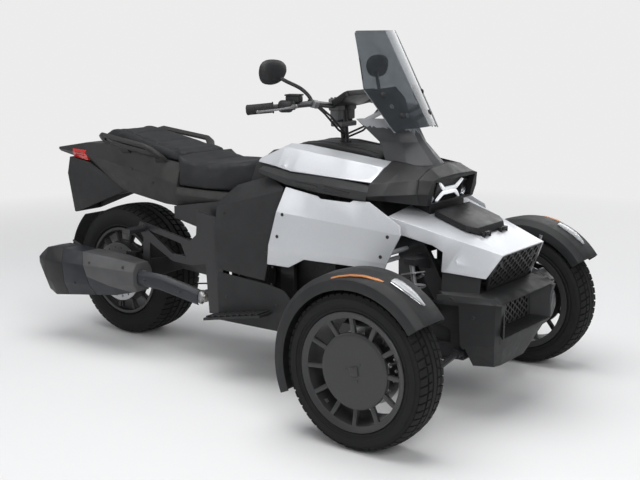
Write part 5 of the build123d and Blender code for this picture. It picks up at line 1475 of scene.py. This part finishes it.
# ---------------------------------------------------------------- stage
def make_stage():
    scene = bpy.context.scene
    scene.view_settings.view_transform = "Standard"
    bm = bmesh.new()
    bmesh.ops.create_grid(bm, x_segments=1, y_segments=1, size=14.0)
    mesh = bpy.data.meshes.new("studio_floor")
    bm.to_mesh(mesh)
    bm.free()
    floor = bpy.data.objects.new("studio_floor", mesh)
    scene.collection.objects.link(floor)
    finish = Finish("studio_floor")
    base = finish.blend(finish.noise(2.0, 3.0), shaded(colours().floor, 0.985), colours().floor)
    finish.set(Base_Color=base, Roughness=0.75)
    # far away the floor fades into the backdrop, for the camera only
    away = finish.node("ShaderNodeVectorMath", {0: finish.place}, operation="LENGTH").outputs["Value"]
    seen = finish.node("ShaderNodeLightPath").outputs["Is Camera Ray"]
    glow = finish.node("ShaderNodeEmission", {"Color": colours().backdrop})
    fade = finish.math("MULTIPLY", finish.span(away, 1.9, 5.2, 0.0, 1.0), seen)
    either = finish.node("ShaderNodeMixShader", {0: fade, 1: finish.shader.outputs[0], 2: glow.outputs[0]})
    feed(finish.tree, finish.out.inputs["Surface"], either.outputs[0])
    mesh.materials.append(finish.material)
    world = bpy.data.worlds.new("studio")
    scene.world = world
    world.use_nodes = True
    tree = world.node_tree
    tree.nodes.clear()
    path = new_node(tree, "ShaderNodeLightPath").outputs
    through = new_node(tree, "ShaderNodeMath", {0: path["Is Camera Ray"], 1: path["Is Transmission Ray"]},
                       operation="MAXIMUM")
    soft = new_node(tree, "ShaderNodeBackground", {"Color": (0.95, 0.97, 1.0), "Strength": 0.34})
    pale = new_node(tree, "ShaderNodeBackground", {"Color": colours().backdrop, "Strength": 1.0})
    mix = new_node(tree, "ShaderNodeMixShader", {0: through.outputs[0], 1: soft.outputs[0],
                                                 2: pale.outputs[0]})
    new_node(tree, "ShaderNodeOutputWorld", {"Surface": mix.outputs[0]})
    for name, spot, aim, size, power in (
        ("overhead", (0.3, -0.6, 4.6), (0.1, 0.0, 0.4), 4.5, 166.0),
        ("front_right", (4.2, -3.2, 3.0), (0.4, 0.0, 0.5), 2.6, 104.0),
        ("rear_right", (-3.6, -3.4, 2.6), (-0.4, 0.0, 0.5), 2.4, 36.0),
        ("left_side", (0.4, 4.6, 2.8), (0.0, 0.0, 0.5), 3.0, 45.0),
    ):
        light = bpy.data.lights.new(name, "AREA")
        light.shape = "DISK"
        light.size = size
        light.energy = power
        lamp = bpy.data.objects.new(name, light)
        lamp.location = spot
        lamp.rotation_euler = (Vector(aim) - Vector(spot)).to_track_quat("-Z", "Y").to_euler()
        scene.collection.objects.link(lamp)


def make_camera():
    """Long lens from the right front, a little above the lamps."""
    turn, rise, roll, distance = radians(36.724), radians(11.004), radians(-0.354), 4.5996
    target = Vector((0.2932, 0.0123, 0.5466))
    back = Vector((sin(turn) * cos(rise), -cos(turn) * cos(rise), sin(rise)))
    right = (-back).cross(Vector((0, 0, 1))).normalized()
    up = right.cross(-back)
    level = right * cos(roll) + up * sin(roll)
    above = up * cos(roll) - right * sin(roll)
    lens_data = bpy.data.cameras.new("view")
    lens_data.lens = 62.45
    lens_data.sensor_width = 36.0
    camera = bpy.data.objects.new("view", lens_data)
    camera.matrix_world = Matrix((level, above, back)).transposed().to_4x4()
    camera.location = target + back * distance
    bpy.context.scene.collection.objects.link(camera)
    bpy.context.scene.camera = camera


class TRIKE_OT_stage(bpy.types.Operator):
    """Makes the finishes, the studio floor, the lights and the camera."""
    bl_idname = "trike.stage"
    bl_label = "Stage"

    def execute(self, context):
        make_camera()
        make_finishes()
        dress_nodes()
        make_stage()
        return {"FINISHED"}


OPERATORS = (TRIKE_OT_stage, TRIKE_OT_wheels, TRIKE_OT_seats, TRIKE_OT_panels, TRIKE_OT_lamps,
             TRIKE_OT_cockpit, TRIKE_OT_running_gear)


class TRIKE_PT_panel(bpy.types.Panel):
    bl_idname = "TRIKE_PT_panel"
    bl_label = "Road trike"
    bl_space_type = "VIEW_3D"
    bl_region_type = "UI"
    bl_category = "Trike"

    def draw(self, context):
        for operator in OPERATORS:
            self.layout.operator(operator.bl_idname)


CLASSES = (TrikeSizes, TrikeColours, *OPERATORS, TRIKE_PT_panel)


def register():
    for kind in CLASSES:
        bpy.utils.register_class(kind)
    bpy.types.Scene.trike_sizes = PointerProperty(type=TrikeSizes)
    bpy.types.Scene.trike_colours = PointerProperty(type=TrikeColours)


def unregister():
    del bpy.types.Scene.trike_sizes
    del bpy.types.Scene.trike_colours
    for kind in reversed(CLASSES):
        bpy.utils.unregister_class(kind)


def main():
    register()
    for operator in OPERATORS:
        group, name = operator.bl_idname.split(".")
        getattr(getattr(bpy.ops, group), name)()


if __name__ == "__main__":
    main()
